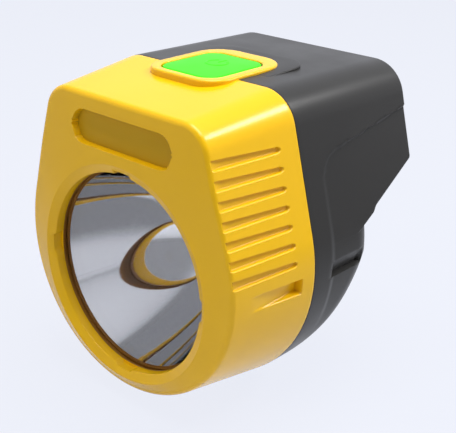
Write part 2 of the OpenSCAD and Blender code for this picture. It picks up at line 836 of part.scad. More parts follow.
// Cone that seats a flat screw head flush with the clip's plate, grown by a gap.
module flat_head(gap) {
    translate([0, seat_d + clip_t - 1, 0]) rotate([-90, 0, 0])
        cylinder(r1 = screw_r + gap, r2 = head_r + gap, h = 1 + (gap > 0 ? eps : 0), $fn = 32);
}

module helmet_clip() {
    color("silver") clip_frame() difference() {
        along_x(clip_w) clip_side();
        for (s = [-1, 1]) translate([s * 5, 0, seat_h]) {
            rod(screw_r + 0.15, seat_d - 1, clip_t + 2);
            flat_head(0.05);
        }
    }
}

module clip_screws() {
    color("silver") clip_frame() for (s = [-1, 1]) translate([s * 5, 0, seat_h]) difference() {
        union() {
            rod(screw_r, seat_in - block_t + 0.2, seat_d + clip_t - 0.5 - seat_in + block_t - 0.2, 24);
            flat_head(0);
        }
        for (a = [0, 90]) rotate([0, a, 0]) translate([-1.5, seat_d + clip_t - 0.6, -0.3])
            cube([3, 2, 0.6]);
    }
}

front_bezel();
lens_gasket();
front_lens();
reflector();
retaining_ring();
heat_sink();
led_board();
led_package();
led_dome();
sink_screws();
housing_seal();
rear_housing();
housing_screws();
power_button();
button_membrane();
switch_body();
switch_plunger();
control_board();
board_parts();
board_screws();
upper_cell();
lower_cell();
foam_pads();
battery_leads();
led_leads();
charge_contacts();
helmet_clip();
clip_screws();
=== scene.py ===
# %% [markdown]
# # A miner's cap lamp
# A cordless cap lamp is a small moulded box with a deep mirror in front. A yellow front shell
# holds the lens, a black rear housing holds the battery, and a green button sits in a collar on top.
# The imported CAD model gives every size. This lesson replaces its plain solids with finer surfaces
# where they can be seen, and gives all the others a finish.

# %% Load the model
import json

import bmesh
import bpy
import numpy as np
from mathutils import Matrix, Vector

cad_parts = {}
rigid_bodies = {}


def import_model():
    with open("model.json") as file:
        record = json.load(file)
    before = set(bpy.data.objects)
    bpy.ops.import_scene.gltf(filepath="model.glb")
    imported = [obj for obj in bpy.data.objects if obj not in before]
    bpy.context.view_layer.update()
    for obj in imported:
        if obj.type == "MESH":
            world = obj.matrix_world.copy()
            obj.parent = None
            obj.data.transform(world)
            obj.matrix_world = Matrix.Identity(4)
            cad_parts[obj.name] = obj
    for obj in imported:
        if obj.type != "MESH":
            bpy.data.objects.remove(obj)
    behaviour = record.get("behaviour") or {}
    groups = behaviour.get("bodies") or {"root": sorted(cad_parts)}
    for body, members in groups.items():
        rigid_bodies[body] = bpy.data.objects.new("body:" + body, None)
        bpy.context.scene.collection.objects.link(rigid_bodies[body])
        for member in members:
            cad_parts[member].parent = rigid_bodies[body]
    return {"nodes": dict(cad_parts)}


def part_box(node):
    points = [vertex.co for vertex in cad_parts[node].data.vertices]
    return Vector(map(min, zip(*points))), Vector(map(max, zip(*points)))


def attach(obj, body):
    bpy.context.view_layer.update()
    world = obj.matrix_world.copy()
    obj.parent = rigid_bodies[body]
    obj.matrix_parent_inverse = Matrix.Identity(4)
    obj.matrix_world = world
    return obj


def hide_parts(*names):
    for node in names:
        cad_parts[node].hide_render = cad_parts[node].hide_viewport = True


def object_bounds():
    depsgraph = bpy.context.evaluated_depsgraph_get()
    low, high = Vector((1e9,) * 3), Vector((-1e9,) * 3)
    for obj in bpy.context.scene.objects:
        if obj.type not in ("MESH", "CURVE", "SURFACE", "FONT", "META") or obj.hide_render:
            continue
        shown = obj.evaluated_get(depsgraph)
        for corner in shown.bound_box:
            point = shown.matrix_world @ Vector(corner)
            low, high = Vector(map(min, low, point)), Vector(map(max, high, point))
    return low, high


for leftover in list(bpy.data.objects):
    bpy.data.objects.remove(leftover)
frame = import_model()
cad_low, cad_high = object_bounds()
print("nodes:", len(frame["nodes"]), "box:", tuple(cad_low), tuple(cad_high))

# %% [markdown]
# ## Where things are
# The shapes below are worked out in millimetres from the lens axis, with y = 0 at the front face.
# Two boxes of the loaded model tie that frame to the model's own: the front shell gives the face,
# and the lens gives the axis. The rear housing and the clip give the width, the depth and the seat.
# One function then moves every grid of points into place.

# %% Sizes of the body, in millimetres
face_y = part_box("front_bezel")[0].y * 1000
axis_z = (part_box("front_lens")[0].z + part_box("front_lens")[1].z) * 500
rear_low, rear_high = [np.array(corner) * 1000 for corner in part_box("rear_housing")]
low_r = (rear_high[0] - rear_low[0]) / 2
body_d = rear_high[1] - face_y
seat_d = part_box("helmet_clip")[0].y * 1000 - face_y
split_d, wall = 26.2, 2.4
top_h, corner_r, flat_half, round_rise = 45.2, 9.4, 19.9, 3.5
slant, tip_h = np.radians(24.2), top_h - 23.8
print("low_r", low_r, "body_d", body_d, "seat_d", seat_d, "axis_z", axis_z)


# %% Points into the model's frame
def to_row(points):
    """Millimetres from the lens axis and the front face, to metres in the model's frame."""
    return (np.asarray(points, float) + [0, face_y, axis_z]) / 1000


def from_row(points):
    """The way back: an array in metres in the model's frame, to millimetres from axis and face."""
    return points * 1000 - [0, face_y, axis_z]


# %% [markdown]
# ## From grids to meshes
# Every surface here is a grid: rows in one direction, columns in the other. A helper joins
# neighbouring points with four-sided faces, another merges the grids of one piece where they
# meet, and makes the faces point outwards.

# %% A mesh from one or more grids
merge_distance, least_edge = 2e-7, 1e-7


def grid_faces(rows, cols, start, wrap_rows, wrap_cols):
    """Corner numbers of all faces: each point with its neighbours in the next row and column."""
    r = np.arange(rows if wrap_rows else rows - 1)
    c = np.arange(cols if wrap_cols else cols - 1)
    r, c = np.meshgrid(r, c, indexing="ij")
    r2, c2 = (r + 1) % rows, (c + 1) % cols
    quads = np.stack([r * cols + c, r * cols + c2, r2 * cols + c2, r2 * cols + c], -1)
    return quads.reshape(-1, 4) + start


def add_piece(name, grids, body, sharp=40):
    """One object from a list of (points, wrap rows, wrap columns); points closer than the
    merge distance become one, and edges that turn sharper than sharp degrees stay sharp."""
    points, faces, start = [], [], 0
    for grid, wrap_rows, wrap_cols in grids:
        rows, cols = grid.shape[:2]
        points.append(to_row(grid).reshape(-1, 3))
        faces.append(grid_faces(rows, cols, start, wrap_rows, wrap_cols))
        start += rows * cols
    points, faces = np.concatenate(points), np.concatenate(faces)
    mesh = bpy.data.meshes.new(name)
    mesh.vertices.add(len(points))
    mesh.vertices.foreach_set("co", points.astype(np.float32).ravel())
    mesh.loops.add(faces.size)
    mesh.loops.foreach_set("vertex_index", faces.ravel().astype(np.int32))
    mesh.polygons.add(len(faces))
    mesh.polygons.foreach_set("loop_start", np.arange(0, faces.size, 4, dtype=np.int32))
    mesh.update(calc_edges=True)
    work = bmesh.new()
    work.from_mesh(mesh)
    bmesh.ops.remove_doubles(work, verts=work.verts, dist=merge_distance)
    bmesh.ops.dissolve_degenerate(work, edges=work.edges, dist=least_edge)
    bmesh.ops.recalc_face_normals(work, faces=work.faces)
    open_edges = sum(1 for edge in work.edges if not edge.is_manifold)
    work.to_mesh(mesh)
    work.free()
    piece = bpy.data.objects.new(name, mesh)
    bpy.context.scene.collection.objects.link(piece)
    mesh.polygons.foreach_set("use_smooth", np.ones(len(mesh.polygons), bool))
    mesh.set_sharp_from_angle(angle=np.radians(sharp))
    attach(piece, body)
    print(name, "faces:", len(mesh.polygons), "open edges:", open_edges)
    return piece


# %% [markdown]
# ## Soft steps and mirrored halves
# Walls and ends of a moulding are never perfectly square. A soft step goes from 0 to 1 with a
# level start and end, and a product of such steps gives a groove or a pocket with rounded edges.
# Both shells are alike left and right, so only the right half's columns are chosen.

# %% A soft step, and a half mirrored to the left
def smooth(a, b, x):
    """0 at a and 1 at b; between them 3 t squared less 2 t cubed, where t is the share of the way."""
    t = np.clip((x - a) / (b - a), 0, 1)
    return t * t * (3 - 2 * t)


def mirrored(right):
    """Columns from the right half, top to bottom, then the left half, bottom to top."""
    kind = np.concatenate([right["kind"], right["kind"][-2:0:-1]])
    value = np.concatenate([right["value"], right["value"][-2:0:-1]])
    count = len(right["kind"])
    side = np.concatenate([np.ones(count), -np.ones(count - 2)])
    return {"kind": kind, "value": value, "side": side}


# %% [markdown]
# ## The body's outline
# Seen from the front, the body is a flat top, two corner rounds, two straight sides that lean in
# and one large round below. The lean is the slope of the line that touches both rounds. A column
# of the grid keeps the same part of the outline at every depth: a share of the flat top, an angle
# of the corner, a height on the side or an angle of the lower round.

# %% The outline as a function of column, size and inset
TOP, CORNER, SIDE, LOWER = 0, 1, 2, 3
SHARED = 1000


def outline(columns, top, corner, flat, low, rise, end_z):
    """Points (x, z) for each column. Top: x is a share of the flat. Corner: an angle from
    straight up to the lean. Side: a height, on the tangent or on the lower round; from SHARED
    on, a share of the way from the corner's end to the first height in end_z. Lower: a share of
    the angle from the second height in end_z to straight down."""
    kind, value, side = columns["kind"], columns["value"], columns["side"]
    reach = top - corner - rise
    lean = np.arctan2(reach, flat) - np.arccos((low - corner) / np.hypot(flat, reach))
    turn = np.pi / 2 + (lean - np.pi / 2) * value
    touch_x, touch_z = low * np.cos(lean), rise + low * np.sin(lean)
    corner_end = top - corner + corner * np.sin(lean)
    shared = corner_end + (end_z[0] - corner_end) * (value - SHARED)
    height = np.where(value >= SHARED, shared, value)
    on_line = touch_x - (height - touch_z) * np.tan(lean)
    on_round = np.sqrt(np.maximum(low * low - (height - rise) ** 2, 0))
    first = np.arcsin((end_z[1] - rise) / low)
    down = first + (-np.pi / 2 - first) * value
    parts = [kind == TOP, kind == CORNER, kind == SIDE, kind == LOWER]
    on_side = np.where(height > touch_z, on_line, on_round)
    x = np.select(parts, [flat * value, flat + corner * np.cos(turn), on_side, low * np.cos(down)])
    z = np.select(parts, [top + 0 * value, top - corner + corner * np.sin(turn), height + 0 * low,
                          rise + low * np.sin(down)])
    return x * side, z


# %% [markdown]
# ## The front shell
# The yellow shell is ABS moulded in one shot: a tapered cup with a soft front edge, seven finger
# grooves and a latch notch on each side, a bare badge recess above the lens and a bevel round
# the opening. A boolean for each groove would leave ragged edges, so the grooves are part of the
# surface itself: they are depths, and the deeper of the edge round and the groove wins.

# %% Front shell sizes
front_in, front_drop = 3.3, 3.4
corner_shrink, flat_shrink, rise_gain = 1.7, 1.25, 0.5
shared_end, lower_start = 35.5, -8.0
bevel_r = 27.1
groove_half, groove_cut, groove_end = 1.2, 0.78, 20.5
groove_top, groove_step, groove_n = top_h - 11.2, 4.2, 7
face_top, opening_top = top_h - 2.8, 27
stadium_w, stadium_h, stadium_cut = 32.4, 8.2, 1.5
stadium_z, stadium_core = (face_top + opening_top) / 2 - 0.8, (stadium_w - stadium_h) / 2
notch_front, notch_back, notch_z, notch_h, notch_cut = 7.0, 22.3, 2.9, 3.8, 2.1
top_notch, end_notch = notch_z + notch_h / 2, notch_z - notch_h / 2
print("recess centre above the axis:", stadium_z, "side notch from", end_notch, "to", top_notch)


# %% Cross-sections of the front shell
def taper(y):
    """Height of a groove as a share of its height at the front: it falls evenly by 0.42."""
    return 1 - 0.42 * np.clip(y / groove_end, 0, 1)


def followed(value, y):
    """Column heights that keep a groove's edges on the same columns: offsets from the middle of
    the nearest groove shrink by the taper up to its edge, and stretch from there to halfway."""
    nearest = np.clip(np.round((groove_top - value) / groove_step), 0, groove_n - 1)
    middle = groove_top - groove_step * nearest
    off = value - middle
    inner = np.clip(off, -groove_half, groove_half)
    far, edge_now = groove_step / 2, groove_half * taper(y)
    moved = inner * taper(y) + (off - inner) * (far - edge_now) / (far - groove_half)
    return np.where(np.abs(off) < far + 1e-6, middle + moved, value), off


def front_section(columns, y, inset):
    """The outline at depth y, inset mm inside the outer face; sizes shrink towards the front."""
    share = 1 - y / split_d
    value = columns["value"]
    heights = np.where(columns["kind"] == SIDE, followed(value, y)[0], value)
    return outline({**columns, "value": heights},
                   top_h - front_drop * share - inset,
                   corner_r - corner_shrink * share - inset,
                   flat_half - flat_shrink * share + 0 * inset,
                   low_r - front_in * share - inset,
                   round_rise + rise_gain * share + 0 * inset,
                   (shared_end, lower_start))


def spaced(a, b, step):
    """Even values from a to b, about step apart, without b."""
    return np.linspace(a, b, max(2, int(round(abs(b - a) / step)) + 1))[:-1]


# %% [markdown]
# ### Columns where the edges are
# A grid shows an edge cleanly only where a column runs along it. So the side's columns are close
# together at each groove's two edges and at the notch's, and wide apart on the plain skin.

# %% Columns of the front shell
groove_offsets = (1.7, 1.35, 1.22, 1.17, 1.12, 1.05, 0.85, 0.5, 0.1, -0.3, -0.6, -0.78,
                  -0.88, -0.96, -1.04, -1.12, -1.22, -1.4, -1.7)
side_heights = [groove_top - i * groove_step + off for i in range(groove_n) for off in groove_offsets]
side_heights = [height for height in side_heights if height > top_notch + 0.4]
side_heights += [top_notch + off for off in (0.25, 0.1, -0.02, -0.15, -0.4)] + [4.0, 3.2, 2.4]
side_heights += [end_notch + off for off in (0.55, 0.35, 0.15, 0, -0.15, -0.4)]
side_heights += [0, -1.3, -2.6, -4, -5.4, -6.8, lower_start]
side_heights = np.unique(np.array(side_heights))[::-1]
front_right = {
    "kind": np.concatenate([np.full(72, TOP), np.full(14, CORNER), np.full(2 + len(side_heights), SIDE),
                            np.full(46, LOWER)]),
    "value": np.concatenate([np.linspace(0, 1, 73)[:-1], np.linspace(0, 1, 15)[:-1],
                             [SHARED, SHARED + 0.5], side_heights, np.linspace(0, 1, 47)[1:]]),
}
front_columns = mirrored(front_right)
print("front columns:", len(front_columns["kind"]))


# %% [markdown]
# ### Grooves, notch and recess as depths
# Each hollow is a function that says how deep a point of the skin lies. The skin is worked out
# once without them, the deeper of groove and notch is taken at each point, and the section is
# then worked out again with that much inset. The recess is added to the face's depth, and the
# button's well is taken off the height of the top.

# %% Depths cut into the sides
def groove_depth(y, value):
    """Each groove runs out into the face's round and has a bowed end behind. Its depth is the
    product of four soft steps: a sharp one at its upper edge, a softer one at its lower edge,
    one at its end and one at the front."""
    off = followed(value, y)[1]
    end = 20.75 - 0.9 * np.clip(np.abs(off) / groove_half, 0, 1) ** 2
    walls = smooth(groove_half, 1.06, off) * smooth(-groove_half, -0.84, off)
    depth = np.where(np.abs(off) < groove_half, walls, 0) * groove_cut
    return depth * smooth(end + 0.1, end - 0.35, y) * smooth(1.1, 2.6, y)


def notch_depth(y, z):
    """A ramp from nothing at its front to its full depth at a square end wall."""
    ramp = notch_cut * np.clip((y - notch_front) / (notch_back - notch_front), 0, 1)
    cut = smooth(top_notch + 0.06, top_notch - 0.2, z) * smooth(end_notch - 0.1, end_notch + 0.45, z)
    return ramp * cut * smooth(notch_back + 0.05, notch_back - 0.2, y)


# %% Depths of the button's well and of the recess
well_half_x, well_half_y, well_y, well_cut = 4.4, 5.9, 30.9, 2.55
snap_reach, foot_reach, foot_at = 0.12, 0.36, 0.22


def button_well(x, y, margin):
    """A pocket in the top under the button and its collar: full depth within 5.95 mm of an
    oblong core, none beyond 6.35 mm. A margin makes the core smaller all round."""
    off_x = np.maximum(np.abs(x) - (well_half_x - margin), 0)
    off_y = np.maximum(np.abs(y - well_y) - (well_half_y - margin), 0)
    return well_cut * smooth(6.35, 5.95, np.hypot(off_x, off_y))


def badge_depth(x, z):
    """The round-ended recess: its full depth from 0.2 mm inside its edge, none at the edge."""
    dx = np.maximum(np.abs(x) - stadium_core, 0)
    inside = stadium_h / 2 - np.hypot(dx, z - stadium_z)
    return stadium_cut * smooth(0.02, 0.2, inside)


def snapped(x, z):
    """Moves the points nearest to the recess's edge onto the edge, or onto the foot of its wall."""
    core = np.clip(x, -stadium_core, stadium_core)
    off_x, off_z = x - core, z - stadium_z
    reach = np.maximum(np.hypot(off_x, off_z), 1e-6)
    inside = stadium_h / 2 - reach
    goal = np.where((inside >= snap_reach) & (inside < foot_reach), foot_at, inside)
    goal = np.where(np.abs(inside) < snap_reach, 0.0, goal)
    scale = (stadium_h / 2 - goal) / reach
    return core + off_x * scale, stadium_z + off_z * scale


def joint_inset(off):
    """A fine chamfer where the two shells meet: 0.16 mm at the joint, less by 0.9 of the way off."""
    return np.maximum(0.16 - off * 0.9, 0)


# %% [markdown]
# ### Rows from the joint to the face
# The outer skin starts at the joint with the rear housing and ends at the face's edge, which is a
# quarter round. The face's edge lies further back at the bottom than at the top, so the depths of
# the round's rows change from column to column.

# %% Rows of the front shell
kinds, values = front_columns["kind"], front_columns["value"]
edge_r = np.where(kinds == TOP, 1.3, 1.15)
least_drop = 0.65
side_height = np.where(values >= SHARED, shared_end + 4.5, values)
drop_back = np.where(kinds == SIDE, least_drop + least_drop * smooth(30, 8, side_height), least_drop)
drop_back = np.where(kinds == LOWER, 2 * least_drop - 0.2 * values, drop_back)
front_y = np.concatenate([
    [26.2, 26.15, 26.02, 25.5, 24.6, 23.7, 23.0, 22.6, 22.4, 22.3, 22.2, 22.1, 21.9, 21.4, 21.0],
    spaced(20.8, 19.0, 0.13), spaced(19.0, 17.2, 0.3), spaced(17.2, 16.3, 0.12),
    spaced(16.3, 3.6, 0.75), [3.6]])[:, None]
turns = np.radians(np.linspace(0, 90, 15))[:, None]
wide = np.zeros(len(kinds))
y_rows = np.concatenate([front_y + wide, drop_back + edge_r * (1 - np.sin(turns))])
inset_rows = np.concatenate([joint_inset(split_d - front_y) + wide, edge_r * (1 - np.cos(turns))])
x, z = front_section(front_columns, y_rows, inset_rows)
cut = np.where(kinds == SIDE, np.maximum(groove_depth(y_rows, values), notch_depth(y_rows, z)), 0)
total = (inset_rows**8 + cut**8) ** 0.125
x, z = front_section(front_columns, y_rows, total)
z = z - np.where(kinds == TOP, button_well(x, y_rows, 0.0), 0)
skin = np.stack([x, y_rows, z], -1)
print("front skin:", skin.shape)


# %% [markdown]
# ### The face and what lies inside it
# From the face's edge the rows run inwards to the opening, down the bevel, over the lip that holds
# the lens, and back along the inner skin to the joint, so the shell closes on itself. Each row
# on the face, the bevel and the lip keeps its columns close to the same rays from the lens axis.
# The lip has four small slots, one at each quarter turn.

# %% The face, the bevel and the lens seat
lip_arc_r, slot_r, slotted_below = 24.8, 25.6, 25.3
seat_profile = [
    (bevel_r, 0), (27.02, 0.02), (26.93, 0.07), (26.3, 0.38), (25.1, 0.96), (25.0, 1.02), (24.92, 1.1),
    (24.88, 1.2), (24.86, 1.35), (24.85, 2.3), (24.85, 3.3), (24.9, 3.4), (26.15, 3.4), (26.15, 8.4)]


def lip_radius(angle, radius):
    """The lip's radius, out to the slots' radius within 2.5 mm of arc of each quarter turn."""
    off = np.abs((angle + np.pi / 4) % (np.pi / 2) - np.pi / 4) * lip_arc_r
    return radius + (slot_r - radius) * smooth(2.75, 2.5, off) * (radius < slotted_below)


def on_rays(radius, y):
    """One row of points at depth y, each on its own column's ray, at a radius from the axis."""
    return np.stack([radius * ring_x, y + 0 * ring_x, radius * ring_z], -1)


def level_row(value):
    """One row of the front grid with the same value in each column."""
    return np.full((1, len(kinds)), float(value))


face_edge = skin[-1]
polar = np.arctan2(face_edge[:, 2], face_edge[:, 0])
ring_x, ring_z = np.cos(polar), np.sin(polar)
face_rows = []
for share in np.linspace(0, 1, 62)[1:-1]:
    x = face_edge[:, 0] + (bevel_r * ring_x - face_edge[:, 0]) * share
    z = face_edge[:, 2] + (bevel_r * ring_z - face_edge[:, 2]) * share
    x, z = snapped(x, z)
    face_rows.append(np.stack([x, face_edge[:, 1] * (1 - share) + badge_depth(x, z), z], -1))
for radius, y in seat_profile:
    face_rows.append(on_rays(lip_radius(polar, radius) if 0.5 < y < 3.37 else radius, y))
print("rows on the face and the seat:", len(face_rows))

# %% The inner skin, and the finished front shell
seat_wall_r, inner_front, well_margin = 28.3, 3.0, 0.5
inner_x, inner_z = front_section(front_columns, level_row(inner_front), level_row(wall))
inner_reach = np.hypot(inner_x, inner_z)[0]
for y in (8.4, 3.2):
    face_rows.append(on_rays(np.minimum(seat_wall_r, inner_reach - 0.3), y))
for y in (inner_front, 8.0, 14.0, 16.3, 16.7, 17.2, 20.0, 23.0, split_d):
    y_row = level_row(y)
    x, z = front_section(front_columns, y_row, level_row(wall))
    z = z - np.where(kinds == TOP, button_well(x, y_row, -well_margin), 0)
    face_rows.append(np.stack([x[0], y_row[0], z[0]], -1))
front_grid = np.concatenate([skin, np.array(face_rows)])
front_shell = add_piece("front_shell", [(front_grid, True, True)], "lamp_body", sharp=50)
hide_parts("front_bezel")
centres = np.zeros(3 * len(front_shell.data.polygons), np.float32)
front_shell.data.polygons.foreach_get("center", centres)
centres = from_row(centres.reshape(-1, 3))
# The recess floor's faces, which get the darker yellow of painted shade.
deep = badge_depth(centres[:, 0], centres[:, 2]) > 0.9 * stadium_cut
recess_floor_painted_shade = deep & (centres[:, 1] < 2.9) & (centres[:, 1] > 1.4)
print("faces on the recess floor:", recess_floor_painted_shade.sum())

# %% [markdown]
# ## The rear housing
# The black housing carries the outline straight back over the helmet. Below the top half its wall
# closes in with a round that grows from the sides to the bottom, and a slanted underside joins it
# to the back wall. Two grids share their edge: one for the top and sides, one for what lies below.

# %% Rear housing sizes and columns
close_side, close_more = 8.0, 17.0
panel_cut_mm, panel_line, panel_slope = 0.4, 30.4, np.tan(np.radians(8.4))
panel_front, panel_r = 33.4, 7.0
ledge_start = seat_d - close_side
half_columns = 100
rear_right = {
    "kind": np.concatenate([np.full(34, TOP), np.full(12, CORNER), np.full(54, SIDE)]),
    "value": np.concatenate([np.linspace(0, 1, 35)[:-1], np.linspace(0, 1, 13)[:-1], np.linspace(0, 1, 54)]),
}
order = np.concatenate([np.arange(half_columns)[::-1], np.arange(1, half_columns)])
upper_side = np.concatenate([np.ones(half_columns), -np.ones(half_columns - 1)])
upper_kind, upper_value = rear_right["kind"][order], rear_right["value"][order]
tail_turns = np.radians(np.linspace(0, 90, 46))
tail = close_side + close_more
rear_y = np.concatenate([[split_d, 26.24, 26.36, 26.6], seat_d - tail + tail * np.sin(tail_turns)[1:]])
back_y = np.concatenate([seat_d + spaced(0, 17.3, 0.5)[1:], [body_d - 1.2]])
print("rear columns:", len(order), "rear rows:", len(rear_y) + len(back_y))


# %% Hollows of the rear housing
def under(y):
    """Height of the slanted underside: the tip's at the back wall, less forwards by the slant."""
    return tip_h - (body_d - y) * np.tan(slant)


def closing_radius(down):
    """Radius of the round that closes the wall in: 8 at the side, and 25 straight down."""
    return close_side + close_more * np.maximum(down, 0)


def panel_cut(y, z):
    """Depth of the shallow panel: under a rising line with a rounded front, fading out below."""
    line = panel_line + (y - 40) * panel_slope
    ahead = panel_front + panel_r - y
    round_line = panel_line - panel_r + np.sqrt(np.maximum(panel_r**2 - ahead**2, 0))
    line = np.where(y < panel_front + panel_r, round_line, line)
    below = smooth(0.12, -0.3, z - line) * smooth(33.25, 33.65, y)
    return panel_cut_mm * below * smooth(-16, -2, z)


def pocket_cut(y, z):
    """A finger pocket: a ramp that deepens downwards, with a second step at its lower edge."""
    inside = smooth(33.0, 33.4, y) * smooth(46.0, 45.5, y)
    ramp = 0.5 + 1.5 * np.clip((5.3 - z) / 4.0, 0, 1)
    return ramp * inside * smooth(5.35, 5.05, z) * smooth(1.15, 1.5, z)


# %% [markdown]
# ### Two grids for one skin
# The top and the sides form one grid that runs the whole depth. Below it a second grid follows
# the ledge and the lower round, closes in towards the seat and climbs the slanted underside.
# The same two functions, with a larger inset and nothing carved, give the inner skin.

# %% The upper half: top, corners and sides
round_from, round_share, ledge_r = 0.93, 0.07, 0.9


def upper_half(y, edge_inset, carved=1.0):
    """Top, corners and sides down to the slanted underside, which they meet with a small round.
    The panel and the pockets are carved into the outer skin only."""
    y = y[:, None] + 0 * upper_value
    edge_inset = edge_inset[:, None] + 0 * y
    low_edge = np.where(y > ledge_start, under(y), under(ledge_start)) + np.where(y > seat_d, edge_inset, 0)
    end_r = ledge_r * smooth(seat_d - 1.2, seat_d + 0.8, y)
    reach = top_h - corner_r - round_rise
    lean = np.arctan2(reach, flat_half) - np.arccos((low_r - corner_r) / np.hypot(flat_half, reach))
    start = top_h - corner_r + (corner_r - edge_inset) * np.sin(lean)
    height = start + (low_edge + end_r - start) * np.clip(upper_value / round_from, 0, 1)
    values = np.where(upper_kind == SIDE, height, upper_value)
    columns = {"kind": upper_kind, "value": values, "side": upper_side}
    x, z = outline(columns, top_h - edge_inset, corner_r - edge_inset, flat_half + 0 * y,
                   low_r - edge_inset, round_rise + 0 * y, (0, lower_start))
    cut = np.where(upper_kind == SIDE, np.maximum(panel_cut(y, z), pocket_cut(y, z)), 0)
    x = x - carved * cut * upper_side
    turn = np.clip((upper_value - round_from) / round_share, 0, 1) * np.pi / 2
    rounding = np.where((upper_kind == SIDE) & (upper_value > round_from), 1.0, 0.0)
    x = x - rounding * end_r * (1 - np.cos(turn)) * upper_side
    z = z - rounding * end_r * np.sin(turn)
    z = z - np.where(upper_kind == TOP, button_well(x, y, well_margin * (carved - 1)), 0)
    return np.stack([x, y, z], -1)


# %% The lower half: ledge, closing round, back wall and slanted underside
lower_share = np.concatenate([np.linspace(0, 0.22, 42)[:-1], np.linspace(0.22, 1, 54)])
ledge_n = half_columns - len(lower_share)


def lower_half(y, edge_inset, upper_row, carved=1.0):
    """Below the side edge: a ledge inwards, then the lower round, less the closing round.
    The closing round's radius is 8 at the side and 25 at the bottom, and it ends at the seat."""
    start_z = under(max(y, ledge_start))
    side_in = close_side - np.sqrt(max(close_side**2 - max(y - ledge_start, 0) ** 2, 0))
    first = np.arcsin((start_z - round_rise) / (low_r - side_in))
    turn = first + (-np.pi / 2 - first) * lower_share
    closing = closing_radius(-np.sin(turn))
    gone = np.maximum(y - (seat_d - closing), 0)
    inset = closing - np.sqrt(np.maximum(closing**2 - gone**2, 0))
    z = round_rise + (low_r - inset) * np.sin(turn)
    cut = carved * np.maximum(panel_cut(y, z), pocket_cut(y, z))
    reach = low_r - inset - cut - edge_inset
    arc_x, arc_z = reach * np.cos(turn), round_rise + reach * np.sin(turn)
    steps = np.arange(ledge_n) / ledge_n
    right_x = np.concatenate([upper_row[0, 0] + (arc_x[0] - upper_row[0, 0]) * steps, arc_x])
    right_z = np.concatenate([upper_row[0, 2] + (arc_z[0] - upper_row[0, 2]) * steps, arc_z])
    x, z = np.concatenate([right_x, -right_x[-2::-1]]), np.concatenate([right_z, right_z[-2::-1]])
    return np.stack([x, np.full(len(x), float(y)), z], -1)


def housing_skin(y_first, y_second, insets, carved):
    """The upper and lower grids of one skin, and the wall behind that joins their last rows."""
    all_y = np.concatenate([y_first, y_second])
    upper = upper_half(all_y, insets, carved)
    lower = [lower_half(y, insets[i], upper[i], carved) for i, y in enumerate(y_first)]
    seat_row = lower[-1]
    corner = upper[len(y_first) - 1, 0]
    right = seat_row[:half_columns, 0].copy()
    right[ledge_n:] = right[ledge_n] * np.linspace(1, 0, half_columns - ledge_n)
    across = np.concatenate([right, -right[-2::-1]]) / corner[0]
    target = np.stack([across * corner[0], seat_row[:, 1], 0 * across + corner[2]], -1)
    lower += [seat_row + (target - seat_row) * share for share in np.linspace(0, 1, 11)[1:]]
    for end in upper[len(y_first):, 0]:
        lower.append(np.stack([across * end[0], 0 * across + end[1], 0 * across + end[2]], -1))
    lower = np.array(lower)
    shares = np.linspace(0, 1, 13)[:, None, None]
    return upper, lower, upper[-1] + (lower[-1] - upper[-1]) * shares


# %% Outer skin, inner skin and the rim between them
back_round = np.radians(np.linspace(0, 90, 8))
outer_in = np.concatenate([joint_inset(rear_y - split_d), 0 * back_y, 1 - np.cos(back_round)])
outer = housing_skin(rear_y, np.concatenate([back_y, body_d - 1 + np.sin(back_round)]), outer_in, 1.0)
few_y, few_back = np.append(rear_y[:-1:3], seat_d), np.append(back_y[::4], body_d)
inner = housing_skin(few_y, few_back, np.full(len(few_y) + len(few_back), wall), 0.0)
for grid in inner:
    y = grid[..., 1]
    shrink = (seat_d - wall - split_d) / (seat_d - split_d)
    grid[..., 1] = np.where(y <= seat_d, split_d + (y - split_d) * shrink, y - wall)
rims = [np.stack([outer[0][0], inner[0][0]]), np.stack([outer[1][0], inner[1][0]])]
rear_sharp = 38
rear_shell = add_piece("rear_shell", [(grid, False, False) for grid in (*outer, *inner, *rims)],
                       "lamp_body", sharp=rear_sharp)
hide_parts("rear_housing")

# %% [markdown]
# ## Screw wells and contact seats
# The housing screws sit at the bottom of four deep wells, and two charging contacts sit in shallow
# seats in the back wall. Round tools cut the openings out of the shell, as the pins of a mould
# would leave them, and a tube lines each well behind its opening.

# %% Openings cut into the rear shell
def rod_grid(centre, radius, y_from, y_to, count=48):
    """A closed round bar along y, as a grid from pole to pole."""
    turns = np.linspace(0, 2 * np.pi, count + 1)[:-1]
    across, along = np.cos(turns), np.sin(turns)
    rows = [(0, y_from), (radius, y_from), (radius, y_to), (0, y_to)]
    return np.array([np.stack([centre[0] + r * across, y + 0 * turns, centre[1] + r * along], -1)
                     for r, y in rows])


def outer_skin_y(x, z):
    """Depth of the outer skin behind a point: the closing round below, else the back wall."""
    reach = np.hypot(x, z - round_rise)
    closing = closing_radius(-(z - round_rise) / reach)
    gone = np.sqrt(np.maximum(closing**2 - (closing - (low_r - reach)) ** 2, 0))
    return np.where(z > 10, body_d, seat_d - closing + gone)


screw_mesh = frame["nodes"]["housing_screws"].data
screw_points = np.zeros(3 * len(screw_mesh.vertices), np.float32)
screw_mesh.vertices.foreach_get("co", screw_points)
screw_points = from_row(screw_points.reshape(-1, 3))
well_centres = []
for side in (1, -1):
    for level in (1, -1):
        one = screw_points[(screw_points[:, 0] * side > 0) & ((screw_points[:, 2] - 10) * level > 0)]
        well_centres.append((one[:, [0, 2]].min(0) + one[:, [0, 2]].max(0)) / 2)
head_y = screw_points[:, 1].max()
contact_low, contact_high = [from_row(np.array(corner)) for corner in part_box("charge_contacts")]
contact_r = 3
contact_x, contact_z = contact_high[0] - contact_r, (contact_low[2] + contact_high[2]) / 2
print("wells at", np.round(well_centres, 2), "heads end at", head_y, "contacts at", contact_x, contact_z)

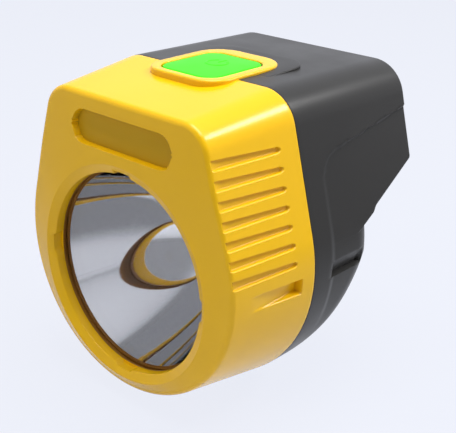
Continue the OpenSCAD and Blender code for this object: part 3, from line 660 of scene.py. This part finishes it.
# %% The cut itself
well_r, well_wall, contact_seat_r = 3.0, 1.0, 3.1
tools = [rod_grid(centre, well_r, head_y - 2.5, body_d + 5) for centre in well_centres]
tools += [rod_grid((side * contact_x, contact_z), contact_seat_r, body_d - 1, body_d + 2)
          for side in (1, -1)]
cutter = add_piece("cutter", [(tool, False, True) for tool in tools], "lamp_body",
                   sharp=rear_sharp)
opening = rear_shell.modifiers.new("openings", "BOOLEAN")
opening.operation, opening.solver, opening.object = "DIFFERENCE", "EXACT", cutter
evaluated = rear_shell.evaluated_get(bpy.context.evaluated_depsgraph_get())
pierced = bpy.data.meshes.new_from_object(evaluated)
rear_shell.modifiers.clear()
rear_shell.data = pierced
pierced.set_sharp_from_angle(angle=np.radians(rear_sharp))
bpy.data.objects.remove(cutter)
edge_uses = np.zeros(len(pierced.edges), int)
loop_edges = np.zeros(len(pierced.loops), np.int32)
pierced.loops.foreach_get("edge_index", loop_edges)
np.add.at(edge_uses, loop_edges, 1)
print("rear shell after cutting: faces", len(pierced.polygons), "open edges", (edge_uses != 2).sum())

# %% Tubes that line the wells
tubes = []
tube_r = well_r + well_wall
turns = np.linspace(0, 2 * np.pi, 49)[:-1]
for centre in well_centres:
    rows = []
    for radius, outer_end in ((well_r, False), (well_r, True), (tube_r, True), (tube_r, False)):
        x, z = centre[0] + radius * np.cos(turns), centre[1] + radius * np.sin(turns)
        rows.append(np.stack([x, outer_skin_y(x, z) - 0.3 if outer_end else head_y - 3 + 0 * x, z], -1))
    tubes.append((np.array(rows), True, True))
well_tubes = add_piece("well_tubes", tubes, "lamp_body", sharp=rear_sharp)
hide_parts("rear_housing")

# %% [markdown]
# ## The collar, its pad and the button
# These three follow closed paths in plan. A path is a list of corner rounds; a profile of
# (offset, height) pairs is then carried round it, as a seal is extruded along a frame.

# %% Paths and profiles
def rounded_path(corners, count):
    """A closed path from corners (x, y, radius) given anticlockwise: at each corner an arc that
    touches both edges. It is resampled at even steps of its own length, from its first point."""
    corners = [(np.array(c[:2], float), c[2]) for c in corners]
    points = []
    for i, (place, radius) in enumerate(corners):
        before = corners[i - 1][0] - place
        after = corners[(i + 1) % len(corners)][0] - place
        before, after = before / np.hypot(*before), after / np.hypot(*after)
        half = np.arccos(np.clip(before @ after, -1, 1)) / 2
        centre = place + (before + after) / np.hypot(*(before + after)) * radius / np.sin(half)
        a = place + before * radius / np.tan(half) - centre
        b = place + after * radius / np.tan(half) - centre
        first = np.arctan2(a[1], a[0])
        sweep = (np.arctan2(b[1], b[0]) - first + np.pi) % (2 * np.pi) - np.pi
        turns = first + sweep * np.linspace(0, 1, 24)
        points.append(centre + radius * np.stack([np.cos(turns), np.sin(turns)], -1))
    points = np.concatenate(points)
    start = np.argmin(np.abs(points[:, 0]) + 100 * (points[:, 1] > points[:, 1].min() + 1e-6))
    middle = np.array([[0.0, points[:, 1].min()]])
    right = np.roll(points, -start, axis=0)
    if right[0, 0] < 0:
        right = np.roll(right, -1, axis=0)
    closed = np.concatenate([middle, right, middle])
    length = np.concatenate([[0], np.cumsum(np.hypot(*np.diff(closed, axis=0).T))])
    at = np.linspace(0, length[-1], count + 1)[:-1]
    return np.stack([np.interp(at, length, closed[:, 0]), np.interp(at, length, closed[:, 1])], -1)


def offset_path(path, distance):
    """The path moved outwards: each point along its own normal."""
    along = np.roll(path, -1, axis=0) - np.roll(path, 1, axis=0)
    along /= np.hypot(along[:, 0], along[:, 1])[:, None]
    return path + distance * np.stack([along[:, 1], -along[:, 0]], -1)


def at_height(path, z):
    """A path in plan lifted to height z, which is one value or one for each point."""
    return np.stack([path[:, 0], path[:, 1], z + 0 * path[:, 0]], -1)


def rounded_edge(path, top, radius, turns):
    """Rows round the outer edge of a top: at each turn the path moves in by the radius less its
    cosine share, and drops under the top by the radius less its sine share."""
    rings = [offset_path(path, -radius * (1 - np.cos(turn))) for turn in turns]
    drops = [radius * (1 - np.sin(turn)) for turn in turns]
    return [at_height(ring, top(ring[:, 1]) - drop) for ring, drop in zip(rings, drops)]


def oblong(half_x, front, back, front_r, back_r):
    """A closed path with four rounded corners, alike left and right."""
    return rounded_path([(-half_x, front, front_r), (half_x, front, front_r),
                         (half_x, back, back_r), (-half_x, back, back_r)], 224)


# %% [markdown]
# ### The collar
# The collar is part of the yellow moulding: a frame with a soft outer edge and a finer inner one,
# whose top falls very slightly to the front. Inside, it has a lip that keeps the button's flange.

# %% The collar's paths and rows
collar_foot, collar_high, collar_back, collar_slope = 43.0, 46.25, 45.1, 0.02
keeper_z, flange_z = 45.1, 44.1
rim_round, hole_round, keeper_w = 0.55, 0.3, 1.0


def collar_top(y):
    """Height of the collar's top: its height at the back, less forwards by the slope."""
    return collar_high - collar_slope * (collar_back - y)


face_path = oblong(half_x=8.95, front=19.8, back=40.3, front_r=4.3, back_r=4.0)
rim = oblong(half_x=11.85, front=17.4, back=45.2, front_r=6.7, back_r=7.6)
hole = offset_path(face_path, 0.3)
edge = np.radians(np.linspace(0, 90, 7))
rim_rows = [at_height(rim, collar_foot), at_height(rim, 44.4)]
rim_rows += rounded_edge(rim, collar_top, rim_round, edge)
lip = offset_path(hole, hole_round)
last = rim_rows[-1]
rim_rows += [last + (at_height(lip, collar_top(lip[:, 1])) - last) * share for share in (0.35, 0.7)]
for t in edge:
    ring = offset_path(hole, hole_round * (1 - np.sin(t)))
    rim_rows.append(at_height(ring, collar_top(ring[:, 1]) - hole_round * (1 - np.cos(t))))
keeper = offset_path(hole, keeper_w)
rim_rows += [at_height(hole, keeper_z), at_height(keeper, keeper_z), at_height(keeper, collar_foot)]
collar = add_piece("button_collar", [(np.array(rim_rows), True, True)], "lamp_body", sharp=45)
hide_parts("front_bezel")

# %% [markdown]
# ### The pad behind the collar
# The black housing rises into a low pad behind the collar. It starts about flush with the top,
# under the collar, and rises evenly to the back. It is a closed piece set into the housing.

# %% The low pad
pad_path = oblong(half_x=15, front=30, back=49.4, front_r=3, back_r=6.5)
pad_middle, pad_foot, pad_round = [0, 40], top_h - 1.2, 0.35
pad_start, pad_length, pad_rise = 33, 16.4, 0.95


def pad_top(y):
    """Height of the pad's top: the body's top where the pad starts, rising evenly to the back."""
    return top_h + pad_rise * (y - pad_start) / pad_length


pad_rows = [at_height(pad_path * [0, 0] + pad_middle, pad_foot), at_height(pad_path, pad_foot)]
pad_rows += rounded_edge(pad_path, pad_top, pad_round, edge)
for share in (0.8, 0.6, 0.4, 0.2, 0.0):
    inner = pad_middle + (offset_path(pad_path, -pad_round) - pad_middle) * share
    pad_rows.append(at_height(inner, pad_top(inner[:, 1])))
collar_pad = add_piece("collar_pad", [(np.array(pad_rows), False, True)], "lamp_body",
                       sharp=45)
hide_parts("rear_housing")

# %% [markdown]
# ### The button
# The button is moulded in its own green plastic. A flange round its foot stays under the collar's
# lip, its edge is well rounded, and its face is gently crowned and bears a faint raised symbol.
# Pushing it moves the whole piece, so it rides on its own body and not on the lamp's.

# %% The button's rows
button_middle, button_round, button_sunk, button_crown = [0, 30.05], 0.6, 0.05, 0.2
flange_w, flange_t = 0.9, 0.7
symbol_y, symbol_r, symbol_gap, bar_y, bar_half, symbol_high = 31.8, 2.6, 0.55, 33.8, 1.3, 0.12


def emboss(x, y):
    """A ring that is open towards the back, with a bar in its gap, raised by 0.12 mm. Both are a
    soft step of the distance from their middle line."""
    off = np.abs(np.hypot(x, y - symbol_y) - symbol_r)
    opening = np.abs(np.arctan2(x, y - symbol_y)) < symbol_gap
    ring = smooth(0.34, 0.12, off) * ~opening
    bar = smooth(0.34, 0.12, np.hypot(x, np.maximum(np.abs(y - bar_y) - bar_half, 0)))
    return symbol_high * np.maximum(ring, bar)


def button_edge_top(y):
    """Height of the button's face at its edge: just under the collar's top."""
    return collar_top(y) - button_sunk


flange = offset_path(face_path, flange_w)
flange_top = flange_z + flange_t
press_rows = [at_height(face_path * [0, 0] + button_middle, flange_z), at_height(flange, flange_z),
              at_height(flange, flange_top), at_height(face_path, flange_top)]
press_rows += rounded_edge(face_path, button_edge_top, button_round, np.radians(np.linspace(0, 84, 9)))
ring = press_rows[-1][:, :2]
for share in np.linspace(1, 0, 44)[1:]:
    inner = button_middle + (ring - button_middle) * share
    rise = -button_sunk + button_crown * (1 - share**2.4)
    press_rows.append(at_height(inner, collar_top(inner[:, 1]) + rise + emboss(*inner.T)))
button = add_piece("green_button", [(np.array(press_rows), False, True)], "button", sharp=50)
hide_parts("power_button")

# %% [markdown]
# ## The reflector
# The mirror is a metallised moulding: the closed end of a long oval, turned round the axis. What
# it shows is nothing but the lamp's own front rim and the room, so its shape has to be exact, and
# any facet would break the reflection. It is a revolved profile with smooth normals. Its flat
# front rim isn't part of the mirror and is finished apart.

# %% The reflector's profile, turned round the lens axis
def turned(profile, count=180):
    """A profile of (radius, y) pairs turned round the lens axis."""
    turns = np.linspace(0, 2 * np.pi, count + 1)[:-1]
    radius, y = np.array(profile, float).T[..., None]
    return np.stack([radius * np.cos(turns), y + 0 * turns, radius * np.sin(turns)], -1)


oval_half, oval_shift = 64, 30
bowl_r, bowl_start, bowl_end, bowl_wall = 24.4, 5.2, 32.636, 1.0
mirror_rim_r, mirror_rim_back, hole_r = 25.9, 6.4, 6.0


def bowl_radius(y):
    """Half the oval's width at depth y: the rim's radius times the square root of what is left of
    its squared half-length, over what is left of it at the rim."""
    at_rim = oval_half**2 - (bowl_start + oval_shift) ** 2
    return bowl_r * np.sqrt((oval_half**2 - (y + oval_shift) ** 2) / at_rim)


inner_y = bowl_start + (bowl_end - bowl_start) * np.sin(np.radians(np.linspace(0, 90, 90)))
rim_front = [(mirror_rim_r, bowl_start), (bowl_r, bowl_start)]
bowl = [(bowl_radius(y), y) for y in inner_y[1:-1]] + [(hole_r, bowl_end - 0.06)]
hole_edge = [(6.06, bowl_end), (6.7, bowl_end)]
back_side = [(bowl_radius(y) + bowl_wall, y) for y in np.linspace(bowl_end - 0.1, mirror_rim_back, 40)]
profile = rim_front + bowl + hole_edge + back_side + [(mirror_rim_r, mirror_rim_back)]
mirror = add_piece("mirror_bowl", [(turned(profile), True, True)], "lamp_body",
                   sharp=50)
# The flat rim's faces take the brown finish below: painted shade and reflection for the dark ring between the
# lip and the mirror.
rim_faces_painted_shade = [face for face in mirror.data.polygons
             if abs(face.center.y * 1000 - face_y - bowl_start) < 0.03]
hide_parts("reflector")
print("rim radius:", bowl_radius(bowl_start), "hole radius:", bowl_radius(bowl_end))

# %% [markdown]
# ## Finishes
# Each finish starts from what the real material is and how it was made. Colours are sRGB hex
# values, turned to linear once. One small function adds a node with its settings and links.

# %% Helpers for materials
def linear(code):
    """A colour written in hex, as the linear values that a shader takes."""
    values = np.array([int(code[i:i + 2], 16) for i in (0, 2, 4)]) / 255
    values = np.where(values <= 0.04045, values / 12.92, ((values + 0.055) / 1.055) ** 2.4)
    return (*values, 1.0)


def add(tree, kind, inputs=None, **settings):
    """Adds one node: settings are its own fields, inputs are values or other nodes' outputs."""
    new = tree.nodes.new(kind)
    for field, value in settings.items():
        setattr(new, field, value)
    for socket, value in (inputs or {}).items():
        if isinstance(value, bpy.types.NodeSocket):
            tree.links.new(value, new.inputs[socket])
        else:
            new.inputs[socket].default_value = value
    return new


def start_material(name, **values):
    """A material with a Principled shader whose constant sockets are set directly."""
    material = bpy.data.materials.new(name)
    material.use_nodes = True
    tree = material.node_tree
    shader = tree.nodes["Principled BSDF"]
    for socket, value in values.items():
        shader.inputs[socket.replace("_", " ")].default_value = value
    place = add(tree, "ShaderNodeTexCoord").outputs["Object"]
    return material, tree, shader, place


def gloss_and_grain(tree, shader, gloss, span, rough, grain, bump, depth):
    """Roughness goes from rough[0] to rough[1] while the gloss pattern goes over its span. The
    grain pattern becomes a bump of the given strength and depth in metres."""
    roughness = add(tree, "ShaderNodeMapRange", {"Value": gloss, "From Min": span[0], "From Max": span[1],
                                                 "To Min": rough[0], "To Max": rough[1]})
    tree.links.new(roughness.outputs["Result"], shader.inputs["Roughness"])
    relief = add(tree, "ShaderNodeBump", {"Height": grain, "Strength": bump, "Distance": depth})
    tree.links.new(relief.outputs["Normal"], shader.inputs["Normal"])


# %% [markdown]
# ### Moulded plastics
# The shells are ABS from a spark-eroded mould. The eye reads a faint, even grain of about half a
# millimetre, slow changes of gloss where the melt flowed, and a very slight change of depth in
# the colour. The grain is a bump, and the gloss is a map of roughness. The floor of the badge
# recess is rougher and duller, and its darker yellow is painted shade for the shadow its walls cast on it.

# %% Shell plastics and the button
mix_factor, mix_first, mix_second, mixed_colour = 0, 6, 7, 2


def moulded(name, colour, deeper, rough, grain_mm, bump, spread, shine=0.3):
    """A moulded plastic or rubber: slow clouds mix two close colours and move the roughness by
    spread each way, and a finer noise of grain_mm is its relief."""
    material, tree, shader, place = start_material(name, IOR=1.53, Specular_IOR_Level=shine)
    cloud = add(tree, "ShaderNodeTexNoise", {"Vector": place, "Scale": 55.0, "Detail": 3.0, "Roughness": 0.5})
    tint = add(tree, "ShaderNodeMix", {mix_factor: cloud.outputs["Fac"], mix_first: linear(colour),
                                       mix_second: linear(deeper)}, data_type="RGBA")
    tree.links.new(tint.outputs[mixed_colour], shader.inputs["Base Color"])
    grain = add(tree, "ShaderNodeTexNoise", {"Vector": place, "Scale": 1000 / grain_mm, "Detail": 2.0})
    gloss_and_grain(tree, shader, cloud.outputs["Fac"], (0.3, 0.7), (rough - spread, rough + spread),
                    grain.outputs["Fac"], bump, 0.00004)
    return material


yellow_abs = moulded("yellow_moulded_abs", "EFBC0A", "E9B508", 0.22, 0.45, 0.12, 0.03)
black_abs = moulded("black_moulded_abs", "2F2E2C", "2B2A29", 0.34, 0.45, 0.3, 0.05, shine=0.22)
green_abs = moulded("green_button_abs", "3FDC02", "3AD602", 0.36, 0.5, 0.12, 0.04, shine=0.12)
# Painted shade: a darker yellow for the badge recess's floor, where its walls shade it.
yellow_painted_recess_shade = moulded("yellow_abs_painted_recess_shade", "C69C08", "BF9507", 0.5, 0.45, 0.4, 0.05, shine=0.2)
dark_nylon = moulded("dark_nylon", "2A2725", "242120", 0.55, 0.4, 0.3, 0.05)
white_nylon = moulded("white_nylon", "DEDCD4", "D6D3CA", 0.5, 0.4, 0.2, 0.05)
chip_epoxy = moulded("chip_epoxy", "17171A", "1D1D20", 0.6, 0.3, 0.3, 0.05)

# %% [markdown]
# ### Rubber, foam and wire jackets
# Rubber and silicone are matt, with a bloom that changes them in patches. The recipe is that of
# the plastics, rougher and for most with a stronger grain.

# %% Rubbers
# The brown rubber's hue is painted shade and reflection: a dark rubber deep in the opening, tinted by the
# yellow bezel and lightened against its shade.
rubber_brown_painted_shade = moulded("nitrile_rubber_painted_brown_shade", "96651F", "86591A", 0.62, 0.5, 0.5, 0.08)
seal_rubber = moulded("black_seal_rubber", "161616", "1E1E1E", 0.7, 0.5, 0.5, 0.08)
grey_silicone = moulded("grey_silicone", "6D6F70", "656768", 0.65, 0.5, 0.4, 0.06)
grey_foam = moulded("closed_cell_foam", "3A3A3C", "2B2B2D", 0.9, 0.9, 1.0, 0.05)
red_jacket = moulded("red_wire_jacket", "B8170F", "A3130C", 0.5, 0.4, 0.2, 0.05)
white_jacket = moulded("white_wire_jacket", "DAD9D4", "CFCEC8", 0.5, 0.4, 0.2, 0.05)


# %% [markdown]
# ### Metals
# The mirror is aluminium evaporated onto a lacquered moulding: almost clear, with a faint haze.
# The clip, screws and heat sink are brushed or turned, so their grain is long one way.

# %% Metals
def metal(name, colour, rough, grain, bump):
    """Brushed or coated metal: a noise stretched by the three grain scales, in lines per metre."""
    material, tree, shader, place = start_material(name, Metallic=1.0)
    shader.inputs["Base Color"].default_value = linear(colour)
    mapped = add(tree, "ShaderNodeMapping", {"Vector": place, "Scale": grain})
    lines = add(tree, "ShaderNodeTexNoise",
                {"Vector": mapped.outputs["Vector"], "Scale": 1.0, "Detail": 3.0}).outputs["Fac"]
    gloss_and_grain(tree, shader, lines, (0.25, 0.75), (rough * 0.8, rough * 1.25), lines, bump, 0.00003)
    return material


mirror_aluminium = metal("evaporated_aluminium", "E6E6E7", 0.02, (90, 90, 90), 0.0)
spring_stainless = metal("stamped_stainless", "C2C3C4", 0.28, (150, 2500, 2500), 0.3)
zinc_steel = metal("zinc_plated_steel", "BFC2C6", 0.3, (1500, 1500, 1500), 0.15)
bare_aluminium = metal("turned_aluminium", "C9CBCE", 0.35, (2500, 150, 2500), 0.25)
gold_plate = metal("plated_brass", "E3B75C", 0.25, (1200, 1200, 1200), 0.1)
cell_foil = metal("laminated_cell_foil", "B9BCC4", 0.4, (500, 500, 500), 0.5)

# %% [markdown]
# ### Lens, board and light source
# The lens is a clear polycarbonate disc. Light must pass it to reach the mirror, so most of it is
# see-through, and a small share of true glass shader gives its reflections. The board is glass
# fibre under a green solder mask, and the LED is a white package under a yellow phosphor dome.

# %% Lens, boards and LED
clear_pc, lens_tree, lens_shader, lens_place = start_material(
    "clear_polycarbonate", IOR=1.585, Alpha=0.02, Roughness=0.03)
lens_shader.inputs["Base Color"].default_value = linear("FFFFFF")
lens_shader.inputs["Transmission Weight"].default_value = 1.0
haze = add(lens_tree, "ShaderNodeTexNoise", {"Vector": lens_place, "Scale": 400.0, "Detail": 2.0})
haze_range = add(lens_tree, "ShaderNodeMapRange",
                 {"Value": haze.outputs["Fac"], "To Min": 0.01, "To Max": 0.05})
lens_tree.links.new(haze_range.outputs["Result"], lens_shader.inputs["Roughness"])
clear_pc.surface_render_method = "BLENDED"
solder_mask = moulded("green_solder_mask", "0E5A2A", "0A4A22", 0.3, 1.5, 0.5, 0.05)
white_mask = moulded("white_solder_mask", "EDEDEA", "E4E4E0", 0.35, 1.0, 0.3, 0.05)
phosphor = moulded("phosphor_silicone", "F2CF4E", "EBC238", 0.3, 0.4, 0.1, 0.05)
phosphor.node_tree.nodes["Principled BSDF"].inputs["Subsurface Weight"].default_value = 0.2

# %% [markdown]
# ### Who wears what
# The hidden nodes of the model keep their own shape and only get a finish. The new pieces get
# theirs too, and two of them have a second one: the recess's floor is textured and darker yellow,
# painted shade for the shadow of its walls, and the mirror's flat rim has the brown of the gasket
# that lies in front of it, a brown that is painted shade and reflection for the dark ring there.

# %% Finishes given to pieces and nodes
finishes = {
    "lens_gasket": rubber_brown_painted_shade, "front_lens": clear_pc, "retaining_ring": dark_nylon,
    "heat_sink": bare_aluminium, "led_board": white_mask, "led_package": white_mask, "led_dome": phosphor,
    "sink_screws": zinc_steel, "housing_seal": seal_rubber, "housing_screws": zinc_steel,
    "button_membrane": grey_silicone, "switch_body": chip_epoxy, "switch_plunger": white_nylon,
    "control_board": solder_mask, "board_parts": chip_epoxy, "board_screws": zinc_steel,
    "upper_cell": cell_foil, "lower_cell": cell_foil, "foam_pads": grey_foam,
    "battery_leads": red_jacket, "led_leads": white_jacket, "charge_contacts": gold_plate,
    "helmet_clip": spring_stainless, "clip_screws": zinc_steel,
}
for name, finish in finishes.items():
    mesh = frame["nodes"][name].data
    mesh.materials.clear()
    mesh.materials.append(finish)
pieces = {front_shell: yellow_abs, rear_shell: black_abs, well_tubes: black_abs, collar: yellow_abs,
          collar_pad: black_abs, button: green_abs, mirror: mirror_aluminium}
for piece, finish in pieces.items():
    piece.data.materials.append(finish)
# Second finishes: painted brown shade on the mirror's flat rim, and the darker yellow of painted shade on the
# recess floor.
mirror.data.materials.append(rubber_brown_painted_shade)
front_shell.data.materials.append(yellow_painted_recess_shade)
front_shell.data.polygons.foreach_set("material_index", recess_floor_painted_shade.astype(np.int32))
for face in rim_faces_painted_shade:
    face.material_index = 1
print("finished nodes:", len(finishes), "brown rim faces:", len(rim_faces_painted_shade))

# %% [markdown]
# ## Floor, light and camera
# The floor is pale and touches the round below the lens. Seen directly, or in the mirror and the
# lens, it is mostly its own even colour, with a small share of true shading that keeps the
# shadow. Reflections find it darker away from the lamp, except on the left, and that gives the
# mirror its dark rings.

# %% What the camera, the mirror and the lens see
backdrop = linear("EFF2FC")
dimmed, full = 0.34, 1.0


def seen_share(tree, rays):
    """1 for a ray from the camera, off a gloss or through the lens, and 0 for any other."""
    seen = add(tree, "ShaderNodeMath", {0: rays.outputs["Is Camera Ray"],
                                        1: rays.outputs["Is Glossy Ray"]}, operation="ADD")
    return add(tree, "ShaderNodeMath", {0: seen.outputs[0], 1: rays.outputs["Is Transmission Ray"]},
               operation="ADD", use_clamp=True).outputs[0]


def larger(tree, first, second):
    """The larger of two values, as an output."""
    return add(tree, "ShaderNodeMath", {0: first, 1: second}, operation="MAXIMUM").outputs[0]


def between(tree, value, low_in, high_in, low_out, high_out, **settings):
    """A value carried from one range to another and held at its ends, as an output."""
    return add(tree, "ShaderNodeMapRange", {"Value": value, "From Min": low_in, "From Max": high_in,
                                            "To Min": low_out, "To Max": high_out},
               **settings).outputs["Result"]


# %% The floor
floor_half = 4
floor_mesh = bpy.data.meshes.new("floor")
low = cad_low.z - 0.0002
corners = [(x * floor_half, y * floor_half, low) for x, y in ((-1, -1), (1, -1), (1, 1), (-1, 1))]
floor_mesh.from_pydata(corners, [], [(0, 1, 2, 3)])
floor = bpy.data.objects.new("floor", floor_mesh)
bpy.context.scene.collection.objects.link(floor)
paper = bpy.data.materials.new("floor_paper")
paper.use_nodes = True
tree = paper.node_tree
tree.nodes.clear()
rays = add(tree, "ShaderNodeLightPath")
even = add(tree, "ShaderNodeMath", {0: seen_share(tree, rays), 1: 0.93}, operation="MULTIPLY")
shaded = add(tree, "ShaderNodeBsdfDiffuse", {"Color": linear("C8CAD0")})
where = add(tree, "ShaderNodeTexCoord").outputs["Object"]
reach = add(tree, "ShaderNodeVectorMath", {0: where}, operation="LENGTH").outputs["Value"]
sideways = add(tree, "ShaderNodeSeparateXYZ", {0: where}).outputs["X"]
near = between(tree, reach, 0.07, 0.34, 1.0, 0.0)
left = between(tree, sideways, 0.0, -0.3, 0.0, 0.8)
lit = larger(tree, larger(tree, near, left), rays.outputs["Is Camera Ray"])
level = between(tree, lit, 0.0, 1.0, dimmed, full)
plain = add(tree, "ShaderNodeEmission", {"Color": backdrop, "Strength": level})
mixed = add(tree, "ShaderNodeMixShader", {0: even.outputs[0], 1: shaded.outputs[0], 2: plain.outputs[0]})
add(tree, "ShaderNodeOutputMaterial", {"Surface": mixed.outputs[0]})
floor_mesh.materials.append(paper)
print("floor at", low)

# %% [markdown]
# ### The surroundings
# Around the lamp is the same pale backdrop. In reflections the sides behind it and to its left
# are bright and the side in front is dimmer. What falls on matt surfaces is a plain weak fill,
# the same from every side.

# %% The world's shader
world = bpy.data.worlds.new("surroundings")
bpy.context.scene.world = world
world.use_nodes = True
tree = world.node_tree
tree.nodes.clear()
rays = add(tree, "ShaderNodeLightPath")
seen = seen_share(tree, rays)
fill = add(tree, "ShaderNodeBackground", {"Color": linear("FFFFFF"), "Strength": 0.30})
direction = add(tree, "ShaderNodeSeparateXYZ", {0: add(tree, "ShaderNodeTexCoord").outputs["Generated"]})
soft = {"interpolation_type": "SMOOTHSTEP"}
behind = between(tree, direction.outputs["Y"], -0.15, 0.15, 0.0, 1.0, **soft)
left = between(tree, direction.outputs["X"], 0.1, -0.6, 0.0, 0.8, **soft)
pale = larger(tree, larger(tree, behind, left), rays.outputs["Is Camera Ray"])
brightness = between(tree, pale, 0.0, 1.0, dimmed, full)
plain = add(tree, "ShaderNodeBackground", {"Color": backdrop, "Strength": brightness})
mixed = add(tree, "ShaderNodeMixShader", {0: seen, 1: fill.outputs[0], 2: plain.outputs[0]})
add(tree, "ShaderNodeOutputWorld", {"Surface": mixed.outputs[0]})
bpy.context.scene.view_settings.view_transform = "Standard"
print("nodes in the world's shader:", len(tree.nodes))


# %% [markdown]
# ### The lamps
# A large lamp right above gives most of the light. A narrow one above and behind on the right
# draws the long highlight along the corner. A weak one in front on the left lightens the front,
# and reflections don't show it.

# %% Lamps
def lamp(name, place, target, size, watts, width=None, along=(1, 0, 0)):
    """A rectangular area lamp at a place, facing a target, its long side near the direction along."""
    data = bpy.data.lights.new(name, "AREA")
    data.shape, data.size, data.size_y, data.energy = "RECTANGLE", size, width or size, watts
    shining = bpy.data.objects.new(name, data)
    bpy.context.scene.collection.objects.link(shining)
    z = (Vector(place) - Vector(target)).normalized()
    x = (Vector(along) - z * z.dot(Vector(along))).normalized()
    y = z.cross(x)
    shining.matrix_world = Matrix([[x[i], y[i], z[i], place[i]] for i in range(3)] + [[0, 0, 0, 1]])
    return shining


lamp("key", (0.04, -0.02, 0.58), (0, -0.02, 0), 0.40, 4.0)
lamp("strip", (0.29, 0.31, 0.453), (0.02, -0.03, 0.04), 0.25, 1.9, width=0.095, along=(0.10, -0.205, 0.13))
lamp("front_fill", (-0.35, -0.60, 0.30), (0, -0.02, 0), 0.50, 0.72).visible_glossy = False

# %% [markdown]
# ### The camera
# The lamp is seen from the right and above, from about 22 cm away through a long lens. Its right
# and up directions are unit vectors, and the direction back is at right angles to both.

# %% A camera with a 74 mm lens
camera = bpy.data.cameras.new("camera")
camera.sensor_width, camera.lens = 36, 74.30
camera.dof.use_dof = False
camera_object = bpy.data.objects.new("camera", camera)
bpy.context.scene.collection.objects.link(camera_object)
right = np.array([0.7434562, 0.66793264, 0.03374708])
up = np.array([-0.27987117, 0.26489375, 0.92276943])
back = np.cross(right, up)
place = to_row([149.124, -132.880, 98.683])
camera_object.matrix_world = Matrix([[right[i], up[i], back[i], place[i]] for i in range(3)] + [[0, 0, 0, 1]])
bpy.context.scene.camera = camera_object
print("camera at", place)
